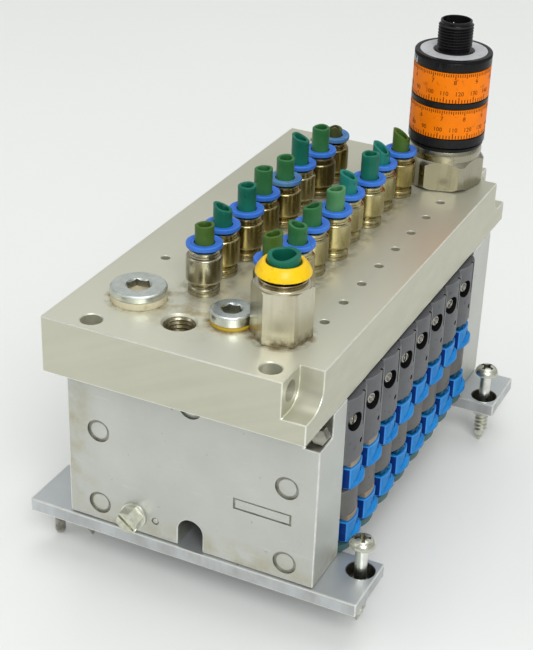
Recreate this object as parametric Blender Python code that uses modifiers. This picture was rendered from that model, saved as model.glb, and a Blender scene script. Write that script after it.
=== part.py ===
"""Pneumatic valve terminal: eight solenoid directional valve slices between two cast end
plates, under a port plate with push-in fittings, plugs and a pressure switch.

X runs across the terminal, with the manual overrides at +X. Y runs along the row of
slices. Z is up, from the plane on which the mounting screws' points stand.
"""

import math

import bmesh
import bpy
from mathutils import Matrix, Vector

MM = 0.001
GAP = 0.3 * MM

SLICES = 8
PITCH = 14.0 * MM

BAR_LENGTH = 114.8 * MM
BAR_WIDTH = 22.6 * MM
BAR_THICK = 4.7 * MM
BAR_BOTTOM = 14.7 * MM
BAR_TOP = BAR_BOTTOM + BAR_THICK
BAR_CENTRES_Y = {"front": -64.4 * MM, "rear": 63.3 * MM}

END_BOTTOM = BAR_TOP + GAP
END_TOP = 76.8 * MM
END_LEFT = -42.3 * MM
END_RIGHT = 42.9 * MM
END_OUTER_Y = 75.0 * MM
END_INNER_Y = SLICES * PITCH / 2 + 0.15 * MM

PLATE_WIDTH = 86.0 * MM
PLATE_LENGTH = 173.0 * MM
PLATE_THICK = 18.6 * MM
PLATE_BOTTOM = END_TOP + GAP
PLATE_TOP = PLATE_BOTTOM + PLATE_THICK
NOTCH_WIDTH = 7.7 * MM
NOTCH_LENGTH = 11.4 * MM
NOTCH_DEPTH = 11.6 * MM
NOTCH_FILLET = 6.5 * MM
NOTCH_WALL_X = PLATE_WIDTH / 2 - NOTCH_WIDTH
MOUNT_HOLE_X = 29.0 * MM
MOUNT_HOLE_Y = 80.8 * MM
MOUNT_HOLE_RADIUS = 3.3 * MM
VENT_ROW_X = 31.1 * MM
VENT_RADIUS = 1.5 * MM
VENT_DEPTH = 8.0 * MM
SIDE_VENT_X = -30.0 * MM
THREADED_PORT = (-5.8 * MM, -70.0 * MM)
THREADED_PORT_RADIUS = 4.6 * MM

SLICE_THICK = PITCH - GAP
SLICE_BACK = END_LEFT + 0.2 * MM
SLICE_FACE = 44.8 * MM
SLICE_FACE_RADIUS = 11.8 * MM
SLICE_BOTTOM = END_BOTTOM + 0.1 * MM
SLICE_TOP = END_TOP - 0.2 * MM
COVER_SCREW = (-3.0 * MM, 66.8 * MM)
OVERRIDE_HEIGHTS = {"upper": 46.35 * MM, "lower": 26.45 * MM}
OVERRIDE_DEPTH = 3.5 * MM
OVERRIDE_SIDES = (-4.4 * MM, 5.7 * MM)
OVERRIDE_TALL = 7.3 * MM
OVERRIDE_TRAVEL = 1.2 * MM
RECESS_BACK = 40.0 * MM
RECESS_REACH = (4.15 * MM, 5.75 * MM)
STEM_RADIUS = 1.5 * MM
STEM_LENGTH = 6.0 * MM

SPOOL_AXIS_Z = 61.0 * MM
SPOOL_LENGTH = 50.0 * MM
SPOOL_RADIUS = 3.0 * MM
SPOOL_WAIST = 1.8 * MM
SPOOL_TRAVEL = 3.0 * MM
SPOOL_BORE_RADIUS = 3.5 * MM
SPOOL_BACK = -28.0 * MM

LEFT_ROW_X = -9.5 * MM
RIGHT_ROW_X = 14.3 * MM
ROW_STAGGER = {"left": -0.6 * MM, "right": 0.8 * MM}
TUBE_STUBS = {
    "left": (5.5, 6.0, 7.6, 7.8, 6.7, 9.2, 7.7, 2.7),
    "right": (8.0, 5.7, 6.1, 6.5, 6.1, 8.1, 6.0, 6.4),
}
FITTING_RADIUS = 5.55 * MM
FITTING_SHANK_RADIUS = 4.1 * MM
COLLAR_BOTTOM = 15.2 * MM
COLLAR_TOP = 16.7 * MM
COLLAR_RADIUS = 5.6 * MM
TUBE_RADIUS = 2.95 * MM
SHANK_DEPTH = 17.0 * MM
WEB_HEIGHT = 1.8 * MM
WEB_WIDTH = 4.0 * MM
CHANNEL_DEPTH = 3.8 * MM

LARGE_FITTING = (23.1 * MM, -61.8 * MM)
LARGE_HEX = 16.0 * MM
LARGE_HEX_TURN = math.radians(18.0)
LARGE_TUBE_RADIUS = 4.8 * MM
LARGE_PLUG = (-23.7 * MM, -62.5 * MM)
SMALL_PLUG = (7.3 * MM, -62.2 * MM)

SENSOR = (24.2 * MM, 69.4 * MM)
SENSOR_RADIUS = 13.3 * MM
SENSOR_CORE_RADIUS = 11.0 * MM
RESET_RING = (19.9 * MM, 30.3 * MM)
SET_RING = (32.9 * MM, 43.4 * MM)

SCREW_POINTS_Y = {"front": -59.4 * MM, "rear": 57.6 * MM}
SCREW_X = 52.0 * MM
SCREW_HEAD_BASE = 28.9 * MM
SCREW_SHANK_RADIUS = 2.0 * MM
BUSH_BORE_RADIUS = 2.75 * MM

EARTH_SCREW = (-18.8 * MM, 25.8 * MM)

MATERIALS = {
    "plate_aluminium": ((0.62, 0.60, 0.54), 0.38, 1.0),
    "cast_aluminium": ((0.60, 0.61, 0.61), 0.45, 1.0),
    "bar_aluminium": ((0.52, 0.55, 0.58), 0.42, 1.0),
    "slice_plastic": ((0.16, 0.16, 0.17), 0.55, 0.0),
    "override_plastic": ((0.02, 0.16, 0.55), 0.45, 0.0),
    "spool_steel": ((0.70, 0.70, 0.70), 0.25, 1.0),
    "nickel_brass": ((0.55, 0.52, 0.44), 0.28, 1.0),
    "collar_blue": ((0.05, 0.20, 0.70), 0.45, 0.0),
    "collar_yellow": ((0.95, 0.72, 0.02), 0.40, 0.0),
    "sensor_black": ((0.02, 0.02, 0.02), 0.40, 0.0),
    "scale_orange": ((0.90, 0.32, 0.03), 0.50, 0.0),
    "zinc_steel": ((0.66, 0.68, 0.66), 0.30, 1.0),
}


def clear_scene():
    for obj in list(bpy.data.objects):
        bpy.data.objects.remove(obj, do_unlink=True)


def new_collection(name):
    collection = bpy.data.collections.new(name)
    bpy.context.scene.collection.children.link(collection)
    return collection


def make_material(name):
    colour, roughness, metallic = MATERIALS[name]
    material = bpy.data.materials.new(name)
    material.use_nodes = True
    shader = material.node_tree.nodes["Principled BSDF"]
    shader.inputs["Base Color"].default_value = (*colour, 1.0)
    shader.inputs["Roughness"].default_value = roughness
    shader.inputs["Metallic"].default_value = metallic
    return material


clear_scene()
PARTS = new_collection("valve_terminal")
CUTTERS = new_collection("cutters")
LOOKS = {name: make_material(name) for name in MATERIALS}


def add_part(name, mesh, look, location=(0, 0, 0)):
    """A finished sub-part: one named object, in one material, with its origin at location."""
    obj = bpy.data.objects.new(name, mesh)
    obj.location = location
    if not mesh.materials:
        mesh.materials.append(LOOKS[look])
    PARTS.objects.link(obj)
    return obj


def add_cutter(name, mesh, location=(0, 0, 0)):
    obj = bpy.data.objects.new(name, mesh)
    obj.location = location
    obj.hide_render = True
    obj.display_type = "WIRE"
    CUTTERS.objects.link(obj)
    return obj


def mesh_of(name, bm):
    bmesh.ops.recalc_face_normals(bm, faces=bm.faces)
    mesh = bpy.data.meshes.new(name)
    bm.to_mesh(mesh)
    bm.free()
    return mesh


def box_into(bm, low, high):
    low, high = Vector(low), Vector(high)
    place = Matrix.Translation((low + high) / 2) @ Matrix.Diagonal((*(high - low), 1.0))
    bmesh.ops.create_cube(bm, size=1.0, matrix=place)


def rod_into(bm, start, end, radius, segments=12, end_radius=None, turn=0.0):
    """A cylinder, or a cone where end_radius differs, between two points."""
    start, end = Vector(start), Vector(end)
    along = end - start
    tilt = along.to_track_quat("Z", "Y").to_matrix().to_4x4()
    place = Matrix.Translation((start + end) / 2) @ tilt @ Matrix.Rotation(turn, 4, "Z")
    bmesh.ops.create_cone(
        bm,
        cap_ends=True,
        segments=segments,
        radius1=radius,
        radius2=radius if end_radius is None else end_radius,
        depth=along.length,
        matrix=place,
    )


def boxes_mesh(name, boxes):
    bm = bmesh.new()
    for low, high in boxes:
        box_into(bm, low, high)
    return mesh_of(name, bm)


def rods_mesh(name, rods):
    bm = bmesh.new()
    for rod in rods:
        rod_into(bm, **rod)
    return mesh_of(name, bm)


def extruded_mesh(name, outline, axis, low, high):
    """A flat outline, in the plane across axis, drawn out from low to high along that axis."""
    bm = bmesh.new()
    corners = []
    for first, second in outline:
        place = [first, second]
        place.insert(axis, low)
        corners.append(bm.verts.new(place))
    face = bm.faces.new(corners)
    moved = bmesh.ops.extrude_face_region(bm, geom=[face])["geom"]
    step = Vector((0, 0, 0))
    step[axis] = high - low
    verts = [item for item in moved if isinstance(item, bmesh.types.BMVert)]
    bmesh.ops.translate(bm, vec=step, verts=verts)
    return mesh_of(name, bm)


def profile_mesh(name, profile, closed=False):
    """An open or closed half-section in the XZ plane, for a Screw modifier to turn."""
    bm = bmesh.new()
    verts = [bm.verts.new((radius, 0, height)) for radius, height in profile]
    for one, other in zip(verts, verts[1:]):
        bm.edges.new((one, other))
    if closed:
        bm.edges.new((verts[-1], verts[0]))
    mesh = bpy.data.meshes.new(name)
    bm.to_mesh(mesh)
    bm.free()
    return mesh


def turn(obj, steps):
    screw = obj.modifiers.new("turned", "SCREW")
    screw.steps = steps
    screw.render_steps = steps
    screw.use_merge_vertices = True
    screw.merge_threshold = 0.00001
    screw.use_smooth_shade = True
    return obj


def cut(obj, cutter, operation="DIFFERENCE"):
    boolean = obj.modifiers.new(cutter.name, "BOOLEAN")
    boolean.operation = operation
    boolean.solver = "EXACT"
    boolean.object = cutter
    return obj


def frozen_mesh(obj, name):
    """The object's shape after its modifiers, as a mesh that several objects can share."""
    bpy.context.view_layer.update()
    graph = bpy.context.evaluated_depsgraph_get()
    mesh = bpy.data.meshes.new_from_object(obj.evaluated_get(graph))
    mesh.name = name
    mesh.materials.clear()
    return mesh


def arc(centre, radius, start, end, steps):
    """Points along an arc, with its angles in degrees, both ends included."""
    angles = [math.radians(start + (end - start) * i / steps) for i in range(steps + 1)]
    return [(centre[0] + radius * math.cos(a), centre[1] + radius * math.sin(a)) for a in angles]


def slice_y(index):
    return (index - (SLICES - 1) / 2) * PITCH


def row_x(row, index):
    """The middle of a row, moved to one side on every other fitting."""
    middle = LEFT_ROW_X if row == "left" else RIGHT_ROW_X
    side = -1 if index % 2 == 0 else 1
    return middle + side * ROW_STAGGER[row]


def fitting_places():
    for row in ("left", "right"):
        for index in range(SLICES):
            yield row, index, (row_x(row, index), slice_y(index))


def notch_cutter(name, side):
    """The corner cut-out of the port plate: a flat floor that sweeps up into an end wall."""
    outer = PLATE_LENGTH / 2 + 2 * MM
    wall = PLATE_LENGTH / 2 - NOTCH_LENGTH
    floor = PLATE_TOP - NOTCH_DEPTH
    above = PLATE_TOP + 2 * MM
    sweep = arc((wall + NOTCH_FILLET, floor + NOTCH_FILLET), NOTCH_FILLET, 180, 270, 5)
    outline = [(outer, floor), (outer, above), (wall, above), *sweep]
    outline = [(side * y, z) for y, z in outline]
    mesh = extruded_mesh(name, outline, 0, NOTCH_WALL_X, PLATE_WIDTH / 2 + 2 * MM)
    return add_cutter(name, mesh)


def port_plate():
    low = (-PLATE_WIDTH / 2, -PLATE_LENGTH / 2, PLATE_BOTTOM)
    high = (PLATE_WIDTH / 2, PLATE_LENGTH / 2, PLATE_TOP)
    plate = add_part("port_plate", boxes_mesh("port_plate", [(low, high)]), "plate_aluminium")
    cut(plate, notch_cutter("front_notch_cutter", -1))
    cut(plate, notch_cutter("rear_notch_cutter", 1))
    under, over = PLATE_BOTTOM - MM, PLATE_TOP + MM
    holes = []

    def drill(place, radius, segments, low=under):
        start, end = (*place, low), (*place, over)
        holes.append({"start": start, "end": end, "radius": radius, "segments": segments})

    for x_side, y_side in ((-1, -1), (1, -1), (-1, 1)):
        place = (x_side * MOUNT_HOLE_X, y_side * MOUNT_HOLE_Y)
        drill(place, MOUNT_HOLE_RADIUS, 12)
    for index in range(SLICES):
        drill((VENT_ROW_X, slice_y(index)), VENT_RADIUS, 6, PLATE_TOP - VENT_DEPTH)
    for index in (0, 1):
        drill((SIDE_VENT_X, slice_y(index)), VENT_RADIUS, 6, PLATE_TOP - VENT_DEPTH)
    for _, _, place in fitting_places():
        drill(place, FITTING_SHANK_RADIUS + 0.65 * MM, 8)
    for place in (LARGE_FITTING, LARGE_PLUG, SMALL_PLUG):
        drill(place, 5.6 * MM, 12)
    drill(SENSOR, 5.2 * MM, 12)
    drill(THREADED_PORT, THREADED_PORT_RADIUS, 12, PLATE_TOP - 13 * MM)
    cut(plate, add_cutter("plate_hole_cutter", rods_mesh("plate_hole_cutter", holes)))
    side_ports = []
    for side in (-1, 1):
        y = side * (PLATE_LENGTH / 2 - 5.6 * MM)
        start = (NOTCH_WALL_X - 2.6 * MM, y, PLATE_TOP - 5.5 * MM)
        end = (NOTCH_WALL_X + 2 * MM, y, PLATE_TOP - 5.5 * MM)
        side_ports.append({"start": start, "end": end, "radius": 3.2 * MM})
    cut(plate, add_cutter("side_port_cutter", rods_mesh("side_port_cutter", side_ports)))
    channel = WEB_WIDTH / 2 + 0.7 * MM
    last = slice_y(SLICES - 1) + 3 * MM
    top = PLATE_BOTTOM + CHANNEL_DEPTH
    cross_y = LARGE_PLUG[1]
    cut(plate, add_cutter("cross_channel_cutter", boxes_mesh("cross_channel_cutter", [
        ((LARGE_PLUG[0] - channel, cross_y - channel, under),
         (LARGE_FITTING[0] + channel, cross_y + channel, top)),
    ])))
    for row, middle in (("left", LEFT_ROW_X), ("right", RIGHT_ROW_X)):
        low = (middle - channel, cross_y - channel, under)
        high = (middle + channel, last, top)
        name = row + "_channel_cutter"
        cut(plate, add_cutter(name, boxes_mesh(name, [(low, high)])))


def end_plate_front():
    """The cast front end plate, with its cable arch, clamp-screw pocket and earth screw."""
    low = (END_LEFT, -END_OUTER_Y, END_BOTTOM)
    high = (END_RIGHT, -END_INNER_Y, END_TOP)
    plate = add_part("end_plate_front", boxes_mesh("end_plate_front", [(low, high)]), "cast_aluminium")
    add_recesses(plate, -1)
    half, top = 4.25 * MM, 30.0 * MM
    middle = 1.0 * MM
    outline = [(middle - half, END_BOTTOM - MM), (middle + half, END_BOTTOM - MM)]
    outline += arc((middle, top - half), half, 0, 180, 8)
    arch = extruded_mesh("arch_cutter", outline, 1, -END_OUTER_Y - MM, -END_OUTER_Y + 9 * MM)
    cut(plate, add_cutter("arch_cutter", arch))
    pocket = boxes_mesh("pocket_cutter", [
        ((END_RIGHT - 5.2 * MM, -END_OUTER_Y - MM, 68.6 * MM),
         (END_RIGHT + MM, -END_OUTER_Y + 9 * MM, END_TOP + MM)),
    ])
    cut(plate, add_cutter("pocket_cutter", pocket))
    x, z = EARTH_SCREW
    face = -END_OUTER_Y
    head = [
        {"start": (x, face + MM, z), "end": (x, face - 1.0 * MM, z), "radius": 4.4 * MM},
        {"start": (x, face - 0.5 * MM, z), "end": (x, face - 5.2 * MM, z),
         "radius": 3.9 * MM, "segments": 6},
    ]
    for index, rod in enumerate(head):
        name = f"earth_screw_piece_{index}"
        cut(plate, add_cutter(name, rods_mesh(name, [rod])), "UNION")


def end_plate_rear():
    low = (END_LEFT, END_INNER_Y, END_BOTTOM)
    high = (END_RIGHT, END_OUTER_Y - 0.4 * MM, END_TOP)
    plate = add_part("end_plate_rear", boxes_mesh("end_plate_rear", [(low, high)]), "cast_aluminium")
    add_recesses(plate, 1)


def add_recesses(plate, side):
    """The shallow round ejector marks cast into an end plate's outer face."""
    face = side * (END_OUTER_Y - (0.4 * MM if side > 0 else 0))
    marks = []
    for x, z in ((-31.3, 53.0), (-31.3, 26.2), (33.0, 53.0), (33.2, 26.0), (0.7, 71.0)):
        start = (x * MM, face - side * 0.6 * MM, z * MM)
        end = (x * MM, face + side * MM, z * MM)
        marks.append({"start": start, "end": end, "radius": 3.9 * MM})
    name = plate.name + "_mark_cutter"
    cut(plate, add_cutter(name, rods_mesh(name, marks)))


def mounting_bar(side):
    """A flat bar across one end, on a captive screw at +X and two screw points at -X."""
    name = "mounting_bar_" + side
    y = BAR_CENTRES_Y[side]
    sign = -1 if side == "front" else 1
    low = (-BAR_LENGTH / 2, y - BAR_WIDTH / 2, BAR_BOTTOM)
    high = (BAR_LENGTH / 2, y + BAR_WIDTH / 2, BAR_TOP)
    bar = add_part(name, boxes_mesh(name, [(low, high)]), "bar_aluminium")
    hole_y = SCREW_POINTS_Y[side]
    boss_start = (SCREW_X, hole_y, BAR_BOTTOM + MM)
    boss_end = (SCREW_X, hole_y, BAR_BOTTOM - 2.2 * MM)
    boss = rods_mesh(name + "_boss", [
        {"start": boss_start, "end": boss_end, "radius": 4.6 * MM, "end_radius": 3.6 * MM},
    ])
    cut(bar, add_cutter(name + "_boss", boss), "UNION")
    studs = rods_mesh(name + "_studs", [
        {"start": (-54.0 * MM, sign * 64.3 * MM, BAR_BOTTOM + MM),
         "end": (-54.0 * MM, sign * 64.3 * MM, 0), "radius": 1.8 * MM, "segments": 10},
        {"start": (-43.7 * MM, sign * 60.7 * MM, BAR_BOTTOM + MM),
         "end": (-43.7 * MM, sign * 60.7 * MM, 4.0 * MM), "radius": 2.3 * MM, "segments": 10},
    ])
    cut(bar, add_cutter(name + "_studs", studs), "UNION")
    point = rods_mesh(name + "_point", [
        {"start": (-43.7 * MM, sign * 60.7 * MM, 5.0 * MM),
         "end": (-43.7 * MM, sign * 60.7 * MM, 0), "radius": 2.2 * MM, "segments": 10,
         "end_radius": 0.4 * MM},
    ])
    cut(bar, add_cutter(name + "_point", point), "UNION")
    wide = rods_mesh(name + "_counterbore", [
        {"start": (SCREW_X, hole_y, BAR_BOTTOM + 0.6 * MM),
         "end": (SCREW_X, hole_y, BAR_TOP + MM), "radius": 4.4 * MM, "segments": 16},
    ])
    cut(bar, add_cutter(name + "_counterbore", wide))
    narrow = rods_mesh(name + "_bush_bore", [
        {"start": (SCREW_X, hole_y, BAR_BOTTOM - 4 * MM),
         "end": (SCREW_X, hole_y, BAR_TOP), "radius": BUSH_BORE_RADIUS, "segments": 12},
    ])
    cut(bar, add_cutter(name + "_bush_bore", narrow))


def mounting_screws():
    """The two captive mounting screws, which slide down until their heads reach the bar."""
    thread, head = 2.4 * MM, 4.15 * MM
    base = SCREW_HEAD_BASE
    profile = [
        (0, base + 3.0 * MM), (2.4 * MM, base + 2.8 * MM), (3.7 * MM, base + 1.9 * MM),
        (head, base + 0.9 * MM), (head, base + 0.2 * MM), (3.9 * MM, base),
        (SCREW_SHANK_RADIUS, base), (SCREW_SHANK_RADIUS, 12.0 * MM), (thread, 11.4 * MM),
        (thread, 4.0 * MM), (0.4 * MM, 0), (0, 0),
    ]
    mesh = profile_mesh("mounting_screw", profile)
    for side, y in SCREW_POINTS_Y.items():
        turn(add_part("mounting_screw_" + side, mesh, "zinc_steel", (SCREW_X, y, 0)), 12)


def face_arc(low, high, steps, stand=0.0):
    """Points along a slice's rounded face, seen from above, between two places across it."""
    radius = SLICE_FACE_RADIUS + stand
    start, end = (math.degrees(math.asin(y / radius)) for y in (low, high))
    return arc((SLICE_FACE - SLICE_FACE_RADIUS, 0), radius, start, end, steps)


def slice_mesh():
    """The slice with its two recesses, spool bore, port passages, guides and screw hole."""
    half = SLICE_THICK / 2
    outline = [(SLICE_BACK, -half), *face_arc(-half, half, 6), (SLICE_BACK, half)]
    blank = extruded_mesh("slice_blank", outline, 2, SLICE_BOTTOM, SLICE_TOP)
    body = add_cutter("slice_blank", blank)
    below, above = RECESS_REACH
    recesses = boxes_mesh("recess_cutter", [
        ((RECESS_BACK, -half - MM, z - below), (SLICE_FACE + MM, half + MM, z + above))
        for z in OVERRIDE_HEIGHTS.values()
    ])
    cut(body, add_cutter("recess_cutter", recesses))
    bore_end = SPOOL_BACK + SPOOL_LENGTH + SPOOL_TRAVEL + 0.8 * MM
    bore = rods_mesh("spool_bore_cutter", [
        {"start": (SPOOL_BACK - 0.8 * MM, 0, SPOOL_AXIS_Z), "end": (bore_end, 0, SPOOL_AXIS_Z),
         "radius": SPOOL_BORE_RADIUS, "segments": 10},
    ])
    cut(body, add_cutter("spool_bore_cutter", bore))
    passages = [
        {"start": (x * MM, 0, SPOOL_AXIS_Z), "end": (x * MM, 0, SLICE_TOP + MM),
         "radius": 1.4 * MM, "segments": 6}
        for x in (-20, -10, 0, 10, 20)
    ]
    cut(body, add_cutter("passage_cutter", rods_mesh("passage_cutter", passages)))
    guides = [
        {"start": (RECESS_BACK - STEM_LENGTH - 0.5 * MM, 0, z), "end": (SLICE_FACE, 0, z),
         "radius": STEM_RADIUS + 0.4 * MM, "segments": 8}
        for z in OVERRIDE_HEIGHTS.values()
    ]
    cut(body, add_cutter("guide_cutter", rods_mesh("guide_cutter", guides)))
    y, z = COVER_SCREW
    screw_hole = rods_mesh("cover_screw_cutter", [
        {"start": (SLICE_FACE - 4.0 * MM, y, z), "end": (SLICE_FACE + MM, y, z),
         "radius": 3.2 * MM, "segments": 10},
    ])
    cut(body, add_cutter("cover_screw_cutter", screw_hole))
    return frozen_mesh(body, "valve_slice")


def valve_slices():
    mesh = slice_mesh()
    for index in range(SLICES):
        add_part(f"valve_slice_{index + 1}", mesh, "slice_plastic", (0, slice_y(index), 0))


def spool_mesh():
    """Four lands on a thinner stem, turned about X."""
    lands = 4
    land = 6.0 * MM
    waist = (SPOOL_LENGTH - lands * land) / (lands - 1)
    profile = [(0, SPOOL_LENGTH)]
    for index in range(lands):
        top = SPOOL_LENGTH - index * (land + waist)
        profile += [(SPOOL_RADIUS, top), (SPOOL_RADIUS, top - land)]
        if index < lands - 1:
            profile += [(SPOOL_WAIST, top - land), (SPOOL_WAIST, top - land - waist)]
    profile.append((0, 0))
    blank = turn(add_cutter("spool_blank", profile_mesh("spool_blank", profile)), 8)
    mesh = frozen_mesh(blank, "spool")
    mesh.transform(Matrix.Rotation(math.radians(90), 4, "Y"))
    bpy.data.objects.remove(blank, do_unlink=True)
    return mesh


def spools():
    mesh = spool_mesh()
    for index in range(SLICES):
        place = (SPOOL_BACK, slice_y(index), SPOOL_AXIS_Z)
        add_part(f"spool_{index + 1}", mesh, "spool_steel", place)


def override_mesh():
    """A push block with a rounded front on a round stem; its origin is the block's back."""
    low, high = OVERRIDE_SIDES
    stand = override_back() + OVERRIDE_DEPTH - SLICE_FACE
    front = [(x - override_back(), y) for x, y in face_arc(low, high, 4, stand)]
    outline = [(0, low), *front, (0, high)]
    block = extruded_mesh("override_blank", outline, 2, -OVERRIDE_TALL / 2, OVERRIDE_TALL / 2)
    body = add_cutter("override_blank", block)
    stem = rods_mesh("override_stem", [
        {"start": (-STEM_LENGTH, 0, 0), "end": (MM, 0, 0), "radius": STEM_RADIUS, "segments": 8},
    ])
    cut(body, add_cutter("override_stem", stem), "UNION")
    return frozen_mesh(body, "manual_override")


def override_back():
    """Where the back of an unpressed block stands: clear of the recess by its travel."""
    return RECESS_BACK + OVERRIDE_TRAVEL + GAP


def manual_overrides():
    mesh = override_mesh()
    for level, height in OVERRIDE_HEIGHTS.items():
        for index in range(SLICES):
            place = (override_back(), slice_y(index), height)
            add_part(f"override_{level}_{index + 1}", mesh, "override_plastic", place)


def small_fitting_profile(stub):
    """A push-in fitting with a cut tube stub standing stub above the release collar."""
    tube_top = COLLAR_TOP + stub
    bore = 1.9 * MM
    return [
        (0, tube_top - 2.5 * MM), (bore, tube_top - 2.5 * MM), (bore, tube_top),
        (TUBE_RADIUS, tube_top), (TUBE_RADIUS, 14.0 * MM), (4.7 * MM, 14.0 * MM),
        (4.7 * MM, 12.6 * MM), (FITTING_RADIUS, 12.3 * MM), (FITTING_RADIUS, 4.9 * MM),
        (4.5 * MM, 3.0 * MM), (4.9 * MM, GAP),
        (FITTING_SHANK_RADIUS, GAP), (FITTING_SHANK_RADIUS, -SHANK_DEPTH), (0, -SHANK_DEPTH),
    ]


def plug_profile(radius, seal, height, socket):
    """A flat plug head on its seal, with a socket and a shank down into the plate."""
    return [
        (0, height - 2.0 * MM), (socket, height - 2.0 * MM), (socket, height),
        (radius - 0.8 * MM, height), (radius, height - 0.7 * MM), (radius, seal),
        (radius - 0.3 * MM, seal), (radius - 0.3 * MM, GAP), (5.1 * MM, GAP),
        (5.1 * MM, -SHANK_DEPTH), (0, -SHANK_DEPTH),
    ]


def large_fitting_profile():
    """The round upper end and the tube stub of the large fitting, and its shank."""
    return [
        (0, 22.8 * MM), (3.3 * MM, 22.8 * MM), (3.3 * MM, 25.8 * MM),
        (LARGE_TUBE_RADIUS, 25.8 * MM), (LARGE_TUBE_RADIUS, 18.7 * MM), (7.1 * MM, 18.7 * MM),
        (7.1 * MM, 18.0 * MM), (8.1 * MM, 17.8 * MM), (8.1 * MM, 16.8 * MM),
        (7.4 * MM, 16.0 * MM), (7.4 * MM, 2.0 * MM), (5.1 * MM, 2.0 * MM),
        (5.1 * MM, -SHANK_DEPTH), (0, -SHANK_DEPTH),
    ]


def port_fittings():
    """Every fixed fitting and plug, held together by a thin web in the plate's underside."""
    web_low = PLATE_TOP - SHANK_DEPTH
    web_high = web_low + WEB_HEIGHT
    half = WEB_WIDTH / 2
    cross_y = LARGE_PLUG[1]
    last = slice_y(SLICES - 1)
    low = (LARGE_PLUG[0], cross_y - half, web_low)
    high = (LARGE_FITTING[0], cross_y + half, web_high)
    name = "port_fittings"
    web = add_part(name, boxes_mesh(name, [(low, high)]), "nickel_brass")
    for row, middle in (("left", LEFT_ROW_X), ("right", RIGHT_ROW_X)):
        low = (middle - half, cross_y - MM, web_low)
        high = (middle + half, last, web_high - 0.2 * MM)
        cut(web, add_cutter(f"{row}_web", boxes_mesh(f"{row}_web", [(low, high)])), "UNION")
    bodies = bpy.data.collections.new("fixed_fittings")
    bodies.hide_render = True
    CUTTERS.children.link(bodies)

    def add_body(label, profile, place, steps):
        body = add_cutter(label, profile_mesh(label, profile), (*place, PLATE_TOP))
        CUTTERS.objects.unlink(body)
        bodies.objects.link(body)
        turn(body, steps)

    for row, index, place in fitting_places():
        profile = small_fitting_profile(TUBE_STUBS[row][index] * MM)
        add_body(f"{row}_fitting_{index + 1}", profile, place, 10)
    add_body("large_plug", plug_profile(8.65 * MM, 2.2 * MM, 4.5 * MM, 3.2 * MM), LARGE_PLUG, 16)
    add_body("small_plug", plug_profile(6.5 * MM, 1.0 * MM, 4.4 * MM, 2.6 * MM), SMALL_PLUG, 16)
    add_body("large_fitting", large_fitting_profile(), LARGE_FITTING, 16)
    join = web.modifiers.new("fixed_fittings", "BOOLEAN")
    join.operation = "UNION"
    join.solver = "EXACT"
    join.operand_type = "COLLECTION"
    join.collection = bodies
    x, y = LARGE_FITTING
    hexagon = rods_mesh("large_fitting_hexagon", [
        {"start": (x, y, PLATE_TOP + GAP), "end": (x, y, PLATE_TOP + 16.5 * MM),
         "radius": LARGE_HEX / math.sqrt(3), "segments": 6, "turn": LARGE_HEX_TURN},
    ])
    cut(web, add_cutter("large_fitting_hexagon", hexagon), "UNION")


def release_collars():
    """The rings that are pushed down to let a tube go."""
    inner = TUBE_RADIUS + 0.35 * MM
    height = COLLAR_TOP - COLLAR_BOTTOM
    section = [
        (COLLAR_RADIUS - 0.3 * MM, height), (COLLAR_RADIUS, 0), (inner, 0), (inner, height),
    ]
    mesh = profile_mesh("release_collar", section, closed=True)
    for row, index, (x, y) in fitting_places():
        place = (x, y, PLATE_TOP + COLLAR_BOTTOM)
        turn(add_part(f"release_collar_{row}_{index + 1}", mesh, "collar_blue", place), 10)
    inner = LARGE_TUBE_RADIUS + 0.35 * MM
    dome = [(inner + 0.7 * MM, 3.6 * MM), (7.0 * MM, 2.6 * MM), (8.0 * MM, 1.0 * MM)]
    section = [(inner, 3.7 * MM), *dome, (8.15 * MM, 0), (inner, 0)]
    mesh = profile_mesh("release_collar_large", section, closed=True)
    place = (*LARGE_FITTING, PLATE_TOP + 20.0 * MM)
    turn(add_part("release_collar_large", mesh, "collar_yellow", place), 16)


def pressure_sensor():
    """The pressure switch: a hexagon, a black core with its connector, and two scale rings."""
    outer = SENSOR_RADIUS
    core = SENSOR_CORE_RADIUS
    gap = GAP
    profile = [
        (0, 52.0 * MM), (4.7 * MM, 52.0 * MM), (4.7 * MM, 58.2 * MM), (5.9 * MM, 58.2 * MM),
        (5.9 * MM, 47.9 * MM), (outer - 0.6 * MM, 47.7 * MM), (outer, 47.2 * MM),
        (outer, SET_RING[1] + gap), (core, SET_RING[1] + gap), (core, SET_RING[0] - gap),
        (outer, SET_RING[0] - gap), (outer, RESET_RING[1] + gap), (core, RESET_RING[1] + gap),
        (core, RESET_RING[0] - gap), (outer, RESET_RING[0] - gap), (outer, 16.2 * MM),
        (12.6 * MM, 14.6 * MM), (12.4 * MM, 9.0 * MM), (4.8 * MM, 9.0 * MM),
        (4.8 * MM, -SHANK_DEPTH), (0, -SHANK_DEPTH),
    ]
    place = (*SENSOR, PLATE_TOP)
    body = turn(add_part("sensor_body", profile_mesh("sensor_body", profile), "sensor_black", place), 24)
    hexagon = rods_mesh("sensor_hexagon", [
        {"start": (*SENSOR, PLATE_TOP + 0.4 * MM), "end": (*SENSOR, PLATE_TOP + 10.6 * MM),
         "radius": 25.0 / math.sqrt(3) * MM, "segments": 6, "turn": math.radians(22)},
    ])
    cut(body, add_cutter("sensor_hexagon", hexagon), "UNION")
    inner = core + gap
    for name, (low, high) in (("sensor_set_ring", SET_RING), ("sensor_reset_ring", RESET_RING)):
        tall = high - low
        section = [(outer, tall), (outer, 0), (inner, 0), (inner, tall)]
        ring = add_part(name, profile_mesh(name, section, closed=True), "scale_orange",
                        (*SENSOR, PLATE_TOP + low))
        turn(ring, 24)


def shade_round_parts():
    for obj in PARTS.objects:
        obj.data.shade_smooth()
        obj.data.set_sharp_from_angle(angle=math.radians(35))


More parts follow.
